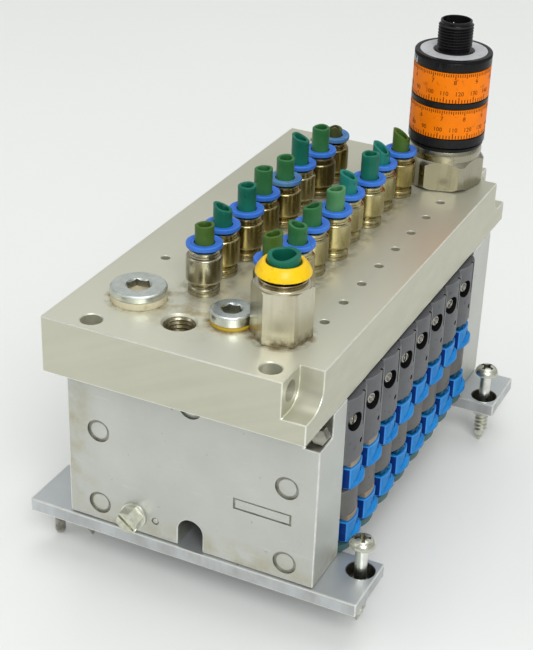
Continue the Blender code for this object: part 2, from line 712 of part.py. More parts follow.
port_plate()
end_plate_front()
end_plate_rear()
mounting_bar("front")
mounting_bar("rear")
mounting_screws()
valve_slices()
spools()
manual_overrides()
port_fittings()
release_collars()
pressure_sensor()
shade_round_parts()
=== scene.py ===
import math
import random

import bmesh
import bpy
from mathutils import Matrix, Vector


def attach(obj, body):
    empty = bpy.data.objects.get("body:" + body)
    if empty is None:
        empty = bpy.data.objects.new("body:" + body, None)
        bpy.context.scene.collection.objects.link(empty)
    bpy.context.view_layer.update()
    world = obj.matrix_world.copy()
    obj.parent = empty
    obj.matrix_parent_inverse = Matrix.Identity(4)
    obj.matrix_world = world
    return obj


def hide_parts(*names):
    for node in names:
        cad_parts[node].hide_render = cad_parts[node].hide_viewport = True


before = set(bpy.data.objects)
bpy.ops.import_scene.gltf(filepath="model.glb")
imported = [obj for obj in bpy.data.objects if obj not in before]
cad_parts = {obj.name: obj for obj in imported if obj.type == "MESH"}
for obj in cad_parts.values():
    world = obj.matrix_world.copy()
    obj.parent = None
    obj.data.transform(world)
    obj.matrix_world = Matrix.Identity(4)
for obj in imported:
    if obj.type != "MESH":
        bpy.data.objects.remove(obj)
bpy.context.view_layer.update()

MM = 0.001
ROOT = "terminal"
DICE = random.Random(11)

# Geometry below is in millimetres, in the row frame; piece() turns it into metres.
PLATE_BOTTOM, PLATE_TOP = 77.1, 95.7
PLATE_X, PLATE_Y = 43.0, 86.5
BAR_BOTTOM, BAR_TOP = 14.7, 19.4
END_LEFT, END_RIGHT, END_BOTTOM, END_TOP = -42.3, 42.9, 19.7, 76.8
SLICE_HALF = 6.85
NOTCH_X = PLATE_X - 7.7
THREADED_PORT = (-5.8, -70.0)
LARGE_FITTING = (23.1, -61.8)
LARGE_PLUG, SMALL_PLUG = (-23.7, -62.5), (7.3, -62.2)
SENSOR = (24.2, 69.4)
ROWS = {"left": (-9.5, -0.6), "right": (14.3, 0.8)}  # middle of each row of fittings, and its stagger
SCREW_X, SCREW_Y = 52.0, {"front": -59.4, "rear": 57.6}
SCREW_HEAD = 28.9


def slice_y(index):
    return (index - 3.5) * 14.0


# ---------------------------------------------------------------- shaders
# Heights and places in these are in metres, as object space gives them.

def ramp(tree, source, stops):
    node = tree.nodes.new("ShaderNodeValToRGB")
    tree.links.new(source, node.inputs["Fac"])
    elements = node.color_ramp.elements
    for index, (place, colour) in enumerate(stops):
        element = elements[index] if index < 2 else elements.new(place)
        element.position = place
        element.color = (*colour, 1.0)
    return node.outputs["Color"]


def mix(tree, factor, one, other, blend="MIX"):
    """one and other are sockets or colours."""
    node = tree.nodes.new("ShaderNodeMix")
    node.data_type = "RGBA"
    node.blend_type = blend
    for slot, value in ((6, one), (7, other)):
        if isinstance(value, tuple):
            node.inputs[slot].default_value = (*value, 1.0)
        else:
            tree.links.new(value, node.inputs[slot])
    if isinstance(factor, (int, float)):
        node.inputs[0].default_value = factor
    else:
        tree.links.new(factor, node.inputs[0])
    return node.outputs[2]


def maths(tree, operation, one, other=None, clamp=False):
    node = tree.nodes.new("ShaderNodeMath")
    node.operation = operation
    node.use_clamp = clamp
    for slot, value in ((0, one), (1, other)):
        if value is None:
            continue
        if isinstance(value, (int, float)):
            node.inputs[slot].default_value = value
        else:
            tree.links.new(value, node.inputs[slot])
    return node.outputs[0]


def times(tree, *factors):
    """The product of sockets and numbers."""
    product = factors[0]
    for factor in factors[1:]:
        product = maths(tree, "MULTIPLY", product, factor)
    return product


def span(tree, source, low, high, to_low=0.0, to_high=1.0):
    node = tree.nodes.new("ShaderNodeMapRange")
    tree.links.new(source, node.inputs["Value"])
    for name, value in (("From Min", low), ("From Max", high), ("To Min", to_low), ("To Max", to_high)):
        node.inputs[name].default_value = value
    return node.outputs["Result"]


def noise(tree, coords, scale, detail=4.0, stretch=(1, 1, 1), rough=0.55):
    mapping = tree.nodes.new("ShaderNodeMapping")
    tree.links.new(coords, mapping.inputs["Vector"])
    mapping.inputs["Scale"].default_value = stretch
    node = tree.nodes.new("ShaderNodeTexNoise")
    tree.links.new(mapping.outputs["Vector"], node.inputs["Vector"])
    node.inputs["Scale"].default_value = scale
    node.inputs["Detail"].default_value = detail
    node.inputs["Roughness"].default_value = rough
    return node.outputs["Fac"]


class Look:
    """A Principled material over noise in object space, which other marks can be laid on."""

    def __init__(self, name, stops, metallic, rough, scale=90.0, stretch=(1, 1, 1), grain=1500.0,
            grain_stretch=(1, 1, 1), bump=0.15, depth=0.00004, coat=0.0, specular=0.5):
        self.material = bpy.data.materials.new(name)
        self.material.use_nodes = True
        self.tree = tree = self.material.node_tree
        self.shader = tree.nodes["Principled BSDF"]
        self.coords = tree.nodes.new("ShaderNodeTexCoord").outputs["Object"]
        cloud = noise(tree, self.coords, scale, stretch=stretch)
        fine = noise(tree, self.coords, grain, 3.0, grain_stretch)
        self.colour = ramp(tree, cloud, stops)
        self.shader.inputs["Metallic"].default_value = metallic
        self.shader.inputs["Coat Weight"].default_value = coat
        self.shader.inputs["Coat Roughness"].default_value = 0.15
        self.shader.inputs["Specular IOR Level"].default_value = specular
        blend = maths(tree, "ADD", times(tree, cloud, 0.6), times(tree, fine, 0.4))
        self.rough = span(tree, blend, 0.3, 0.7, rough[0], rough[1])
        if bump:
            node = tree.nodes.new("ShaderNodeBump")
            node.inputs["Strength"].default_value = bump
            node.inputs["Distance"].default_value = depth
            tree.links.new(fine, node.inputs["Height"])
            tree.links.new(node.outputs["Normal"], self.shader.inputs["Normal"])
        self.join()

    def join(self):
        for socket, name in ((self.colour, "Base Color"), (self.rough, "Roughness")):
            self.tree.links.new(socket, self.shader.inputs[name])

    def stain(self, factors, colour, rough=None):
        """Mixes a second colour in by the product of factors, and can dull the surface there."""
        factor = times(self.tree, *factors)
        self.colour = mix(self.tree, factor, self.colour, colour)
        if rough is not None:
            dull = times(self.tree, factor, rough)
            self.rough = maths(self.tree, "ADD", self.rough, dull, clamp=True)
        self.join()

    def axes(self):
        node = self.tree.nodes.new("ShaderNodeSeparateXYZ")
        self.tree.links.new(self.coords, node.inputs[0])
        return node.outputs

    def spots(self, scale, low, high, stretch=(1, 1, 1), detail=5.0):
        return span(self.tree, noise(self.tree, self.coords, scale, detail, stretch), low, high)

    def edges(self, colour, strength):
        """Lighter convex edges, from the mesh's own pointiness: a painted highlight."""
        point = self.tree.nodes.new("ShaderNodeNewGeometry").outputs["Pointiness"]
        self.stain((span(self.tree, point, 0.52, 0.60), strength), colour)


def near(look, centre, reach, fade):
    """1 near a point in plan and 0 away from it. The measures are in millimetres."""
    tree = look.tree
    squares = []
    for socket, middle in zip(look.axes(), centre):
        away = maths(tree, "SUBTRACT", socket, middle * MM)
        squares.append(times(tree, away, away))
    far = maths(tree, "SQRT", maths(tree, "ADD", *squares))
    return span(tree, far, (reach + fade) * MM, reach * MM)


def plate_look():
    look = Look("plate_satin", [(0.3, (0.50, 0.495, 0.395)), (0.7, (0.565, 0.56, 0.455))], 0.65,
        (0.38, 0.50), scale=22.0, stretch=(1, 0.4, 1), grain=900.0, grain_stretch=(1, 0.05, 0.3),
        bump=0.06, depth=0.00002)
    tree = look.tree
    x, y, z = look.axes()
    slant = tree.nodes.new("ShaderNodeMapping")
    slant.inputs["Rotation"].default_value = (0.0, math.radians(-65), 0.0)
    tree.links.new(look.coords, slant.inputs["Vector"])
    streak = noise(tree, slant.outputs["Vector"], 300.0, 3.0, (1.0, 0.3, 0.05))
    wall = span(tree, z, 0.0955, 0.0953)
    look.stain((wall, span(tree, streak, 0.35, 0.75, 0.0, 0.45)), (0.62, 0.615, 0.50))
    top = span(tree, z, 0.0953, 0.0956)
    # Lighter towards the front of the top face: a painted reflection.
    look.stain((top, span(tree, y, 0.02, -0.08, 0.15, 0.8)), (0.72, 0.72, 0.61))
    worn_place = near(look, (-3.0, -58.0), 8.0, 14.0)
    look.stain((worn_place, look.spots(170.0, 0.50, 0.66), top, 0.6), (0.32, 0.235, 0.07), 0.2)
    bands = []
    for middle, _ in ROWS.values():
        away = maths(tree, "ABSOLUTE", maths(tree, "SUBTRACT", x, middle * MM))
        bands.append(span(tree, away, 0.0085, 0.0055))
    rows = (maths(tree, "MAXIMUM", *bands), span(tree, y, -0.058, -0.050), span(tree, y, 0.057, 0.050))
    look.stain((*rows, look.spots(260.0, 0.42, 0.62), top, 0.6), (0.22, 0.19, 0.08), 0.25)
    for centre, reach in ((LARGE_FITTING, 9.3), (SMALL_PLUG, 7.0), (LARGE_PLUG, 9.0)):
        ring = near(look, centre, reach, 1.8)
        look.stain((ring, look.spots(300.0, 0.38, 0.60), top, 0.8), (0.20, 0.13, 0.03), 0.2)
    return look.material


def cast_look(name, one, two, metallic=0.7, rough=(0.42, 0.56), spot=(0.32, 0.30, 0.27)):
    look = Look(name, [(0.3, one), (0.7, two)], metallic, rough, scale=38.0, grain=1300.0, bump=0.16,
        depth=0.00005)
    look.stain((look.spots(420.0, 0.69, 0.75), 0.7), spot, 0.2)
    look.stain((look.spots(30.0, 0.52, 0.75), 0.30), (0.50, 0.49, 0.45), 0.1)
    return look


def end_look():
    """The end plates' casting, with a little yellow grime towards its left side and foot."""
    look = cast_look("end_casting", (0.52, 0.535, 0.50), (0.60, 0.615, 0.58))
    x, _, z = look.axes()
    rim = maths(look.tree, "MAXIMUM", span(look.tree, x, -0.030, -0.042), span(look.tree, z, 0.030, 0.020))
    look.stain((rim, look.spots(150.0, 0.40, 0.68)), (0.46, 0.43, 0.31), 0.1)
    scratches = look.spots(700.0, 0.66, 0.72, (0.12, 1, 1), 2.0)
    look.stain((scratches, 0.16), (0.74, 0.75, 0.71))
    return look.material


def brass_look(name, clean, grime_and_dark_reflection, amount, highlit_edges=True, rough=(0.16, 0.26), foot_stain=0.9):
    look = Look(name, [(0.30, clean), (0.75, tuple(c * 0.88 for c in clean))], 1.0, rough, scale=150.0,
        stretch=(1, 1, 0.35), grain=900.0, grain_stretch=(1, 1, 0.15), bump=0.03, depth=0.00002)
    patches = look.spots(120.0, 0.60 - amount * 0.16, 0.74, (1, 1, 0.35), 3.0)
    look.stain((patches, 0.20 + 0.80 * amount), grime_and_dark_reflection, 0.15)
    fine = look.spots(520.0, 0.60, 0.70)
    look.stain((fine, 0.35 * amount + 0.05), tuple(c * 0.45 for c in grime_and_dark_reflection), 0.25)
    foot = span(look.tree, look.axes()[2], 0.0995, 0.0960)
    look.stain((foot, look.spots(500.0, 0.36, 0.60), foot_stain), (0.12, 0.09, 0.025), 0.35)
    # Long vertical dark bands on the turned bodies: painted dark reflections.
    bands = look.spots(260.0, 0.50, 0.66, (1, 1, 0.06), 2.0)
    look.stain((bands, 0.25 + 0.4 * amount), tuple(c * 0.7 for c in grime_and_dark_reflection), 0.1)
    # Lighter convex edges: a painted highlight.
    if highlit_edges:
        look.edges((0.80, 0.76, 0.60), 0.45)
    return look.material


def plastic_look(name, one, two, rough=(0.34, 0.48), spot=None, grain=1800.0, bump=0.08, coat=0.0,
        edge_highlight=None, specular=0.28, flank=None):
    look = Look(name, [(0.3, one), (0.7, two)], 0.0, rough, scale=130.0, grain=grain, bump=bump,
        depth=0.00004, coat=coat, specular=specular)
    if flank:
        facing = look.tree.nodes.new("ShaderNodeNewGeometry").outputs["True Normal"]
        parts = look.tree.nodes.new("ShaderNodeSeparateXYZ")
        look.tree.links.new(facing, parts.inputs[0])
        look.stain((span(look.tree, parts.outputs[1], -0.80, -0.95),), flank, 0.1)
    if spot:
        look.stain((look.spots(480.0, 0.60, 0.70), 0.6), spot, 0.2)
    # Lighter convex edges: a painted highlight.
    if edge_highlight:
        look.edges(edge_highlight, 0.5)
    return look.material


def zinc_look(name, one, two, tint, rough=(0.22, 0.36)):
    look = Look(name, [(0.3, one), (0.7, two)], 1.0, rough, scale=240.0, grain=1600.0, bump=0.08,
        depth=0.00003)
    look.stain((look.spots(330.0, 0.46, 0.64), 0.6), tint, 0.12)
    # Lighter convex edges: a painted highlight.
    look.edges((0.92, 0.93, 0.90), 0.6)
    return look.material


def bar_look():
    look = cast_look("bar_dark_sides", (0.50, 0.53, 0.55), (0.62, 0.65, 0.665), 0.75, (0.38, 0.50),
        (0.20, 0.19, 0.17))
    # The sides below the top face are darkened in blotches.
    side = span(look.tree, look.axes()[2], 0.0190, 0.0186)
    look.stain((side, 0.55, look.spots(130.0, 0.35, 0.7, (1, 1, 0.4))), (0.30, 0.275, 0.24), 0.25)
    return look.material


LOOKS = {
    "plate": plate_look(),
    "cast": end_look(),
    "bar": bar_look(),
    # The edge looks below are lighter copies of the surfaces' looks, laid on softened edges as a painted
    # highlight.
    "plate_edge_highlight": zinc_look("plate_edge_highlight", (0.80, 0.795, 0.68), (0.88, 0.875, 0.77), (0.62, 0.60, 0.48),
        (0.30, 0.42)),
    "cast_edge_highlight": zinc_look("cast_edge_highlight", (0.68, 0.69, 0.66), (0.78, 0.79, 0.76), (0.50, 0.50, 0.47),
        (0.34, 0.46)),
    "cover_edge_highlight": plastic_look("cover_edge_highlight", (0.12, 0.12, 0.125), (0.17, 0.17, 0.175), (0.34, 0.44),
        (0.12, 0.12, 0.12)),
    "block_edge_highlight": plastic_look("block_edge_highlight", (0.03, 0.23, 0.66), (0.06, 0.30, 0.76), (0.28, 0.40),
        (0.01, 0.12, 0.40)),
    "steel_edge_highlight": zinc_look("steel_edge_highlight", (0.66, 0.64, 0.54), (0.78, 0.76, 0.66), (0.44, 0.40, 0.28)),
    "hex_edge_highlight": zinc_look("hex_edge_highlight", (0.84, 0.81, 0.68), (0.92, 0.89, 0.78), (0.60, 0.54, 0.38)),
    # Darker zinc for the cut slots in the screw heads: painted shade.
    "screw_slot_painted_shade": zinc_look("screw_slot_painted_shade", (0.26, 0.25, 0.18), (0.38, 0.37, 0.28), (0.12, 0.11, 0.06),
        (0.35, 0.5)),
    # Darker zinc for the plugs' hex sockets: painted shade.
    "socket": zinc_look("plug_socket_painted_shade", (0.32, 0.33, 0.28), (0.42, 0.43, 0.37), (0.20, 0.20, 0.13),
        (0.3, 0.45)),
    # Darker casting for the insides of cuts in the end plates: painted shade.
    "recess": zinc_look("cast_recess_painted_shade", (0.33, 0.33, 0.29), (0.41, 0.41, 0.36), (0.20, 0.19, 0.14),
        (0.4, 0.6)),
    # Near-black zinc for the bars' bores: painted shade.
    "groove_painted_shade": zinc_look("groove_painted_shade", (0.10, 0.10, 0.085), (0.16, 0.155, 0.13), (0.05, 0.045, 0.03),
        (0.4, 0.6)),
    # Near-black housing: painted shade where it shows under the port plate and in the override recesses.
    "housing": plastic_look("housing_painted_shade", (0.010, 0.010, 0.011), (0.020, 0.020, 0.021), (0.50, 0.65)),
    "cover": plastic_look("cover_grey", (0.094, 0.098, 0.105), (0.122, 0.126, 0.133), (0.36, 0.48),
        (0.05, 0.05, 0.052)),
    "lobe": plastic_look("lobe_grey", (0.095, 0.093, 0.088), (0.125, 0.122, 0.114), (0.36, 0.48),
        (0.06, 0.06, 0.055)),
    # The ridge look is the cover's plastic drawn lighter: a painted highlight for the band that turns to the
    # light.
    "ridge": plastic_look("ridge_painted_highlight", (0.20, 0.20, 0.20), (0.25, 0.25, 0.245), (0.40, 0.52),
        (0.12, 0.12, 0.12)),
    "foot": plastic_look("foot_teal", (0.030, 0.085, 0.095), (0.055, 0.13, 0.14), (0.40, 0.55),
        (0.16, 0.26, 0.27)),
    "block": plastic_look("block_blue", (0.007, 0.175, 0.50), (0.015, 0.235, 0.60), (0.30, 0.44),
        (0.006, 0.08, 0.30), flank=(0.0, 0.026, 0.17), specular=0.16),
    "pocket": plastic_look("pocket_teal", (0.003, 0.050, 0.115), (0.008, 0.095, 0.20), (0.3, 0.45),
        (0.0, 0.02, 0.05)),
    "tan": plastic_look("strip_tan", (0.23, 0.195, 0.14), (0.31, 0.265, 0.195), (0.42, 0.56),
        (0.13, 0.10, 0.06)),
    "black": plastic_look("moulded_black", (0.004, 0.004, 0.005), (0.008, 0.008, 0.009), (0.20, 0.32),
        (0.016, 0.016, 0.016), edge_highlight=(0.035, 0.035, 0.035), specular=0.13),
    # Near-black for cut insides, wells, throats and gaps: painted shade.
    "hollow": plastic_look("hollow_painted_shade", (0.003, 0.003, 0.004), (0.009, 0.009, 0.009), (0.6, 0.8),
        specular=0.1),
    "orange": plastic_look("scale_orange", (0.88, 0.19, 0.0), (0.94, 0.225, 0.002), (0.40, 0.52),
        (0.46, 0.10, 0.0), specular=0.15),
    "ink": plastic_look("scale_ink", (0.035, 0.006, 0.001), (0.06, 0.012, 0.002), (0.5, 0.6), specular=0.1),
    "label": plastic_look("ring_label", (0.42, 0.43, 0.44), (0.54, 0.55, 0.56), (0.35, 0.5),
        (0.36, 0.36, 0.36)),
    "nickel": brass_look("nickel_clean", (0.42, 0.39, 0.28), (0.26, 0.21, 0.10), 0.15),
    "hexnickel": brass_look("nickel_hex", (0.64, 0.605, 0.475), (0.42, 0.35, 0.20), 0.12, False,
        (0.26, 0.38)),
    "brass_a": brass_look("brass_stained_a", (0.44, 0.355, 0.135), (0.10, 0.07, 0.010), 0.75),
    "brass_b": brass_look("brass_stained_b", (0.50, 0.435, 0.22), (0.15, 0.11, 0.026), 0.55),
    "brass_c": brass_look("brass_stained_c", (0.36, 0.29, 0.095), (0.075, 0.055, 0.010), 0.9),
    # Darker, heavily stained brass for the grooves: stains, and painted shade.
    "groove": brass_look("brass_groove_stain_and_shade", (0.26, 0.21, 0.11), (0.06, 0.045, 0.015), 1.0),
    "steel": brass_look("sensor_steel", (0.39, 0.365, 0.275), (0.30, 0.27, 0.19), 0.0, False, (0.20, 0.30),
        0.0),
    "collar": plastic_look("collar_blue", (0.022, 0.125, 0.54), (0.040, 0.175, 0.66), (0.34, 0.46),
        (0.02, 0.08, 0.26), edge_highlight=(0.10, 0.30, 0.80)),
    "collar_dusty": plastic_look("collar_dusty", (0.05, 0.16, 0.40), (0.11, 0.25, 0.44), (0.5, 0.65),
        (0.05, 0.09, 0.10)),
    "yellow": plastic_look("collar_yellow", (0.84, 0.50, 0.001), (0.92, 0.60, 0.004), (0.28, 0.40),
        (0.62, 0.36, 0.01), coat=0.1),
    "zinc": zinc_look("zinc_blue", (0.60, 0.65, 0.625), (0.73, 0.775, 0.75), (0.50, 0.53, 0.44)),
    "screw": zinc_look("zinc_olive", (0.60, 0.605, 0.51), (0.70, 0.705, 0.61), (0.38, 0.38, 0.25)),
    "cover_screw": zinc_look("screw_beige", (0.20, 0.185, 0.155), (0.31, 0.29, 0.245), (0.09, 0.075, 0.05),
        (0.35, 0.5)),
    "point": zinc_look("screw_point", (0.30, 0.29, 0.25), (0.42, 0.41, 0.36), (0.13, 0.12, 0.09)),
    "seal": plastic_look("seal_cream", (0.54, 0.49, 0.33), (0.64, 0.59, 0.42), (0.5, 0.65),
        (0.34, 0.26, 0.12)),
    "seal_amber": plastic_look("seal_amber", (0.46, 0.30, 0.02), (0.60, 0.42, 0.04), (0.4, 0.55),
        (0.22, 0.12, 0.02)),
    "spool": zinc_look("spool_ground", (0.66, 0.66, 0.65), (0.76, 0.76, 0.75), (0.55, 0.55, 0.54)),
}
TUBES = {
    "olive": ((0.034, 0.080, 0.010), (0.056, 0.120, 0.018)),
    "green": ((0.014, 0.090, 0.026), (0.028, 0.140, 0.044)),
    "light": ((0.040, 0.150, 0.055), (0.070, 0.210, 0.085)),
    "teal": ((0.003, 0.078, 0.048), (0.006, 0.125, 0.080)),
    "sea": ((0.006, 0.120, 0.095), (0.016, 0.190, 0.150)),
    "dark": ((0.030, 0.038, 0.008), (0.060, 0.070, 0.016)),
}
for shade, (deep, bright) in TUBES.items():
    LOOKS["tube_" + shade] = plastic_look("tube_" + shade, deep, bright, (0.30, 0.44),
        tuple(c * 0.45 for c in deep), bump=0.14, edge_highlight=tuple(min(1.0, c * 1.7 + 0.015) for c in bright),
        specular=0.16)


# Faces are marked by material index: the surface is 0, softened edges 1, and what a cut left bare 2. Softened
# edges take a lighter copy of the surface's look as a painted highlight, and what a cut left bare takes a
# darker look as painted shade.
EDGE, INSIDE = 1, 2
CARVING_SLOTS = ("plate", "cast", "bar")
EDGE_HIGHLIGHT_LOOKS = {"plate": "plate_edge_highlight", "cast": "cast_edge_highlight", "bar": "cast_edge_highlight", "cover": "cover_edge_highlight",
              "lobe": "cover_edge_highlight", "ridge": "cover_edge_highlight", "block": "block_edge_highlight", "steel": "steel_edge_highlight",
              "hexnickel": "hex_edge_highlight"}


# ---------------------------------------------------------------- mesh helpers

def rotation(degrees, axis):
    return Matrix.Rotation(math.radians(degrees), 4, axis)


def polar(centre, radius, angle):
    return centre[0] + radius * math.cos(angle), centre[1] + radius * math.sin(angle)


def lathe(profile, centre=(0.0, 0.0), segments=48, closed=False, warp=None, base=0.0, into=None):
    """Turns (radius, height above base) points about a vertical axis. warp(angle, radius, z) can change z."""
    bm = into or bmesh.new()
    rings = []
    for radius, height in profile:
        height += base
        if radius < 1e-6:
            rings.append([bm.verts.new((centre[0], centre[1], height))])
            continue
        ring = []
        for i in range(segments):
            a = 2 * math.pi * i / segments
            z = warp(a, radius, height) if warp else height
            ring.append(bm.verts.new((*polar(centre, radius, a), z)))
        rings.append(ring)
    pairs = list(zip(rings, rings[1:]))
    if closed:
        pairs.append((rings[-1], rings[0]))
    for one, other in pairs:
        if len(one) == 1 and len(other) == 1:
            continue
        for i in range(segments):
            j = (i + 1) % segments
            if len(one) == 1:
                bm.faces.new((one[0], other[i], other[j]))
            elif len(other) == 1:
                bm.faces.new((one[i], one[j], other[0]))
            else:
                bm.faces.new((one[i], one[j], other[j], other[i]))
    return bm


def prism(outline, axis, low, high, into=None):
    """A flat outline across one axis, drawn from low to high along it."""
    bm = into or bmesh.new()
    verts = []
    for first, second in outline:
        place = [first, second]
        place.insert(axis, low)
        verts.append(bm.verts.new(place))
    face = bm.faces.new(verts)
    moved = bmesh.ops.extrude_face_region(bm, geom=[face])["geom"]
    step = Vector((0, 0, 0))
    step[axis] = high - low
    bmesh.ops.translate(bm, vec=step, verts=[v for v in moved if isinstance(v, bmesh.types.BMVert)])
    return bm


def block(low, high, into=None):
    outline = [(low[0], low[1]), (high[0], low[1]), (high[0], high[1]), (low[0], high[1])]
    return prism(outline, 2, low[2], high[2], into)


def rod(start, end, radius, segments=32, end_radius=None, into=None):
    bm = into or bmesh.new()
    start, end = Vector(start), Vector(end)
    along = end - start
    place = Matrix.Translation((start + end) / 2) @ along.to_track_quat("Z", "Y").to_matrix().to_4x4()
    bmesh.ops.create_cone(bm, cap_ends=True, segments=segments, radius1=radius,
        radius2=end_radius or radius, depth=along.length, matrix=place)
    return bm


def polygon(sides, radius, centre=(0.0, 0.0), turn=0.0):
    return [polar(centre, radius, turn + 2 * math.pi * i / sides) for i in range(sides)]


def arc(centre, radius, start, end, steps):
    angles = [math.radians(start + (end - start) * i / steps) for i in range(steps + 1)]
    return [polar(centre, radius, a) for a in angles]


def soften(bm, width, segments=2, angle=28.0):
    """Rounds every edge that is sharper than angle."""
    bmesh.ops.recalc_face_normals(bm, faces=bm.faces)
    sharp = [e for e in bm.edges if len(e.link_faces) == 2 and e.calc_face_angle(0) > math.radians(angle)]
    made = bmesh.ops.bevel(bm, geom=sharp, offset=width, segments=segments, profile=0.5, affect="EDGES",
        clamp_overlap=True)
    # The rounded faces take the lighter edge look: a painted highlight.
    for face in made["faces"]:
        face.material_index = EDGE
    return bm


def carve(solid, tools, operation="DIFFERENCE", inside=None):
    """solid with tools cut from it, joined to it or kept in common with it, as a new bmesh."""
    made = []
    for index, bm in enumerate([solid, *tools]):
        bmesh.ops.recalc_face_normals(bm, faces=bm.faces)
        if index and inside is not None:
            for face in bm.faces:
                face.material_index = inside
        mesh = bpy.data.meshes.new("carving")
        for look in CARVING_SLOTS:
            mesh.materials.append(LOOKS[look])
        bm.to_mesh(mesh)
        bm.free()
        obj = bpy.data.objects.new("carving", mesh)
        bpy.context.scene.collection.objects.link(obj)
        made.append(obj)
    base = made[0]
    for tool in made[1:]:
        modifier = base.modifiers.new("cut", "BOOLEAN")
        modifier.operation = operation
        modifier.solver = "EXACT"
        modifier.object = tool
    bpy.context.view_layer.update()
    graph = bpy.context.evaluated_depsgraph_get()
    result = bmesh.new()
    result.from_mesh(base.evaluated_get(graph).to_mesh())
    for obj in made:
        mesh = obj.data
        bpy.data.objects.remove(obj, do_unlink=True)
        bpy.data.meshes.remove(mesh)
    bmesh.ops.remove_doubles(result, verts=result.verts, dist=0.0005)
    bmesh.ops.dissolve_degenerate(result, edges=result.edges, dist=0.0005)
    return result


def piece(name, bm, look, body=ROOT, nodes=(), smooth=32.0, lean=None, inside=None):
    """A finished piece of the object, from a bmesh in millimetres, riding on a CAD body."""
    if lean:
        bm.transform(lean)
    bmesh.ops.recalc_face_normals(bm, faces=bm.faces)
    bm.transform(Matrix.Scale(MM, 4))
    mesh = bpy.data.meshes.new(name)
    bm.to_mesh(mesh)
    bm.free()
    highest = max(face.material_index for face in mesh.polygons)
    # Slot 1 takes the lighter edge look, a painted highlight; slot 2 the inside look, a darker painted shade
    # where one is given.
    for marked in (look, EDGE_HIGHLIGHT_LOOKS.get(look, look), inside or look)[:highest + 1]:
        mesh.materials.append(LOOKS[marked])
    mesh.shade_smooth()
    mesh.set_sharp_from_angle(angle=math.radians(smooth))
    obj = bpy.data.objects.new(name, mesh)
    bpy.context.scene.collection.objects.link(obj)
    even = obj.modifiers.new("even_shading", "WEIGHTED_NORMAL")
    even.keep_sharp = True
    even.weight = 90
    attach(obj, body)
    if nodes:
        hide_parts(*nodes)
    return obj


# ---------------------------------------------------------------- port plate

def port_plate():
    solid = block((-PLATE_X, -PLATE_Y, PLATE_BOTTOM), (PLATE_X, PLATE_Y, PLATE_TOP))
    tools = []
    wall, floor, sweep = PLATE_Y - 11.4, PLATE_TOP - 11.6, 6.5
    for side in (-1, 1):
        curve = arc((wall + sweep, floor + sweep), sweep, 180, 270, 14)
        outline = [(PLATE_Y + 3, floor), (PLATE_Y + 3, PLATE_TOP + 3), (wall, PLATE_TOP + 3), *curve]
        tools.append(prism([(side * y, z) for y, z in outline], 0, NOTCH_X, PLATE_X + 3))
    solid = soften(carve(solid, tools), 0.35)
    holes = bmesh.new()
    for x, y in ((-29.0, -80.8), (29.0, -80.8), (-29.0, 80.8)):
        lathe([(0, 76), (3.3, 76), (3.3, 95.35), (4.0, 96.05), (4.0, 97), (0, 97)], (x, y), 40, into=holes)
    vents = [(31.1, slice_y(i)) for i in range(8)] + [(-30.0, slice_y(i)) for i in (0, 1)]
    for x, y in vents:
        lathe([(0, 88), (1.45, 88.6), (1.45, 95.5), (1.7, 95.75), (1.7, 97), (0, 97)], (x, y), 24,
            into=holes)
    lathe([(0, 80.5), (4.85, 83), (4.85, 95.0), (5.6, 95.75), (5.6, 97), (0, 97)], THREADED_PORT, 48,
        into=holes)
    side_ports = bmesh.new()
    for side in (-1, 1):
        y, z = side * 80.9, 90.3
        rod((NOTCH_X - 6.0, y, z), (NOTCH_X + 0.5, y, z), 3.3, 36, into=side_ports)
        rod((NOTCH_X - 0.5, y, z), (NOTCH_X + 0.1, y, z), 3.3, 36, 3.9, into=side_ports)
    shanks = bmesh.new()
    for _, _, centre in fitting_places():
        lathe([(0, 76), (4.75, 76), (4.75, 95.8), (0, 95.8)], centre, 28, into=shanks)
    for centre in (LARGE_FITTING, SENSOR):
        lathe([(0, 76), (5.6, 76), (5.6, 97), (0, 97)], centre, 28, into=shanks)
    solid = carve(solid, [holes, side_ports, shanks])
    piece("port_plate_body", solid, "plate", nodes=("port_plate",), smooth=25)
    thread = []
    pitch = 1.3
    for k in range(9):
        z = 94.9 - k * pitch
        thread += [(4.72, z), (4.05, z - pitch * 0.45), (4.05, z - pitch * 0.55), (4.72, z - pitch * 0.98)]
    bm = lathe(thread, THREADED_PORT, 56, warp=lambda a, r, z: z + 0.25 * math.cos(a))
    piece("threaded_port_turns", bm, "nickel", smooth=60)


def fitting_places():
    for row, (middle, stagger) in ROWS.items():
        for index in range(8):
            side = -1 if index % 2 == 0 else 1
            yield row, index, (middle + side * stagger, slice_y(index))


# ---------------------------------------------------------------- end plates and bars

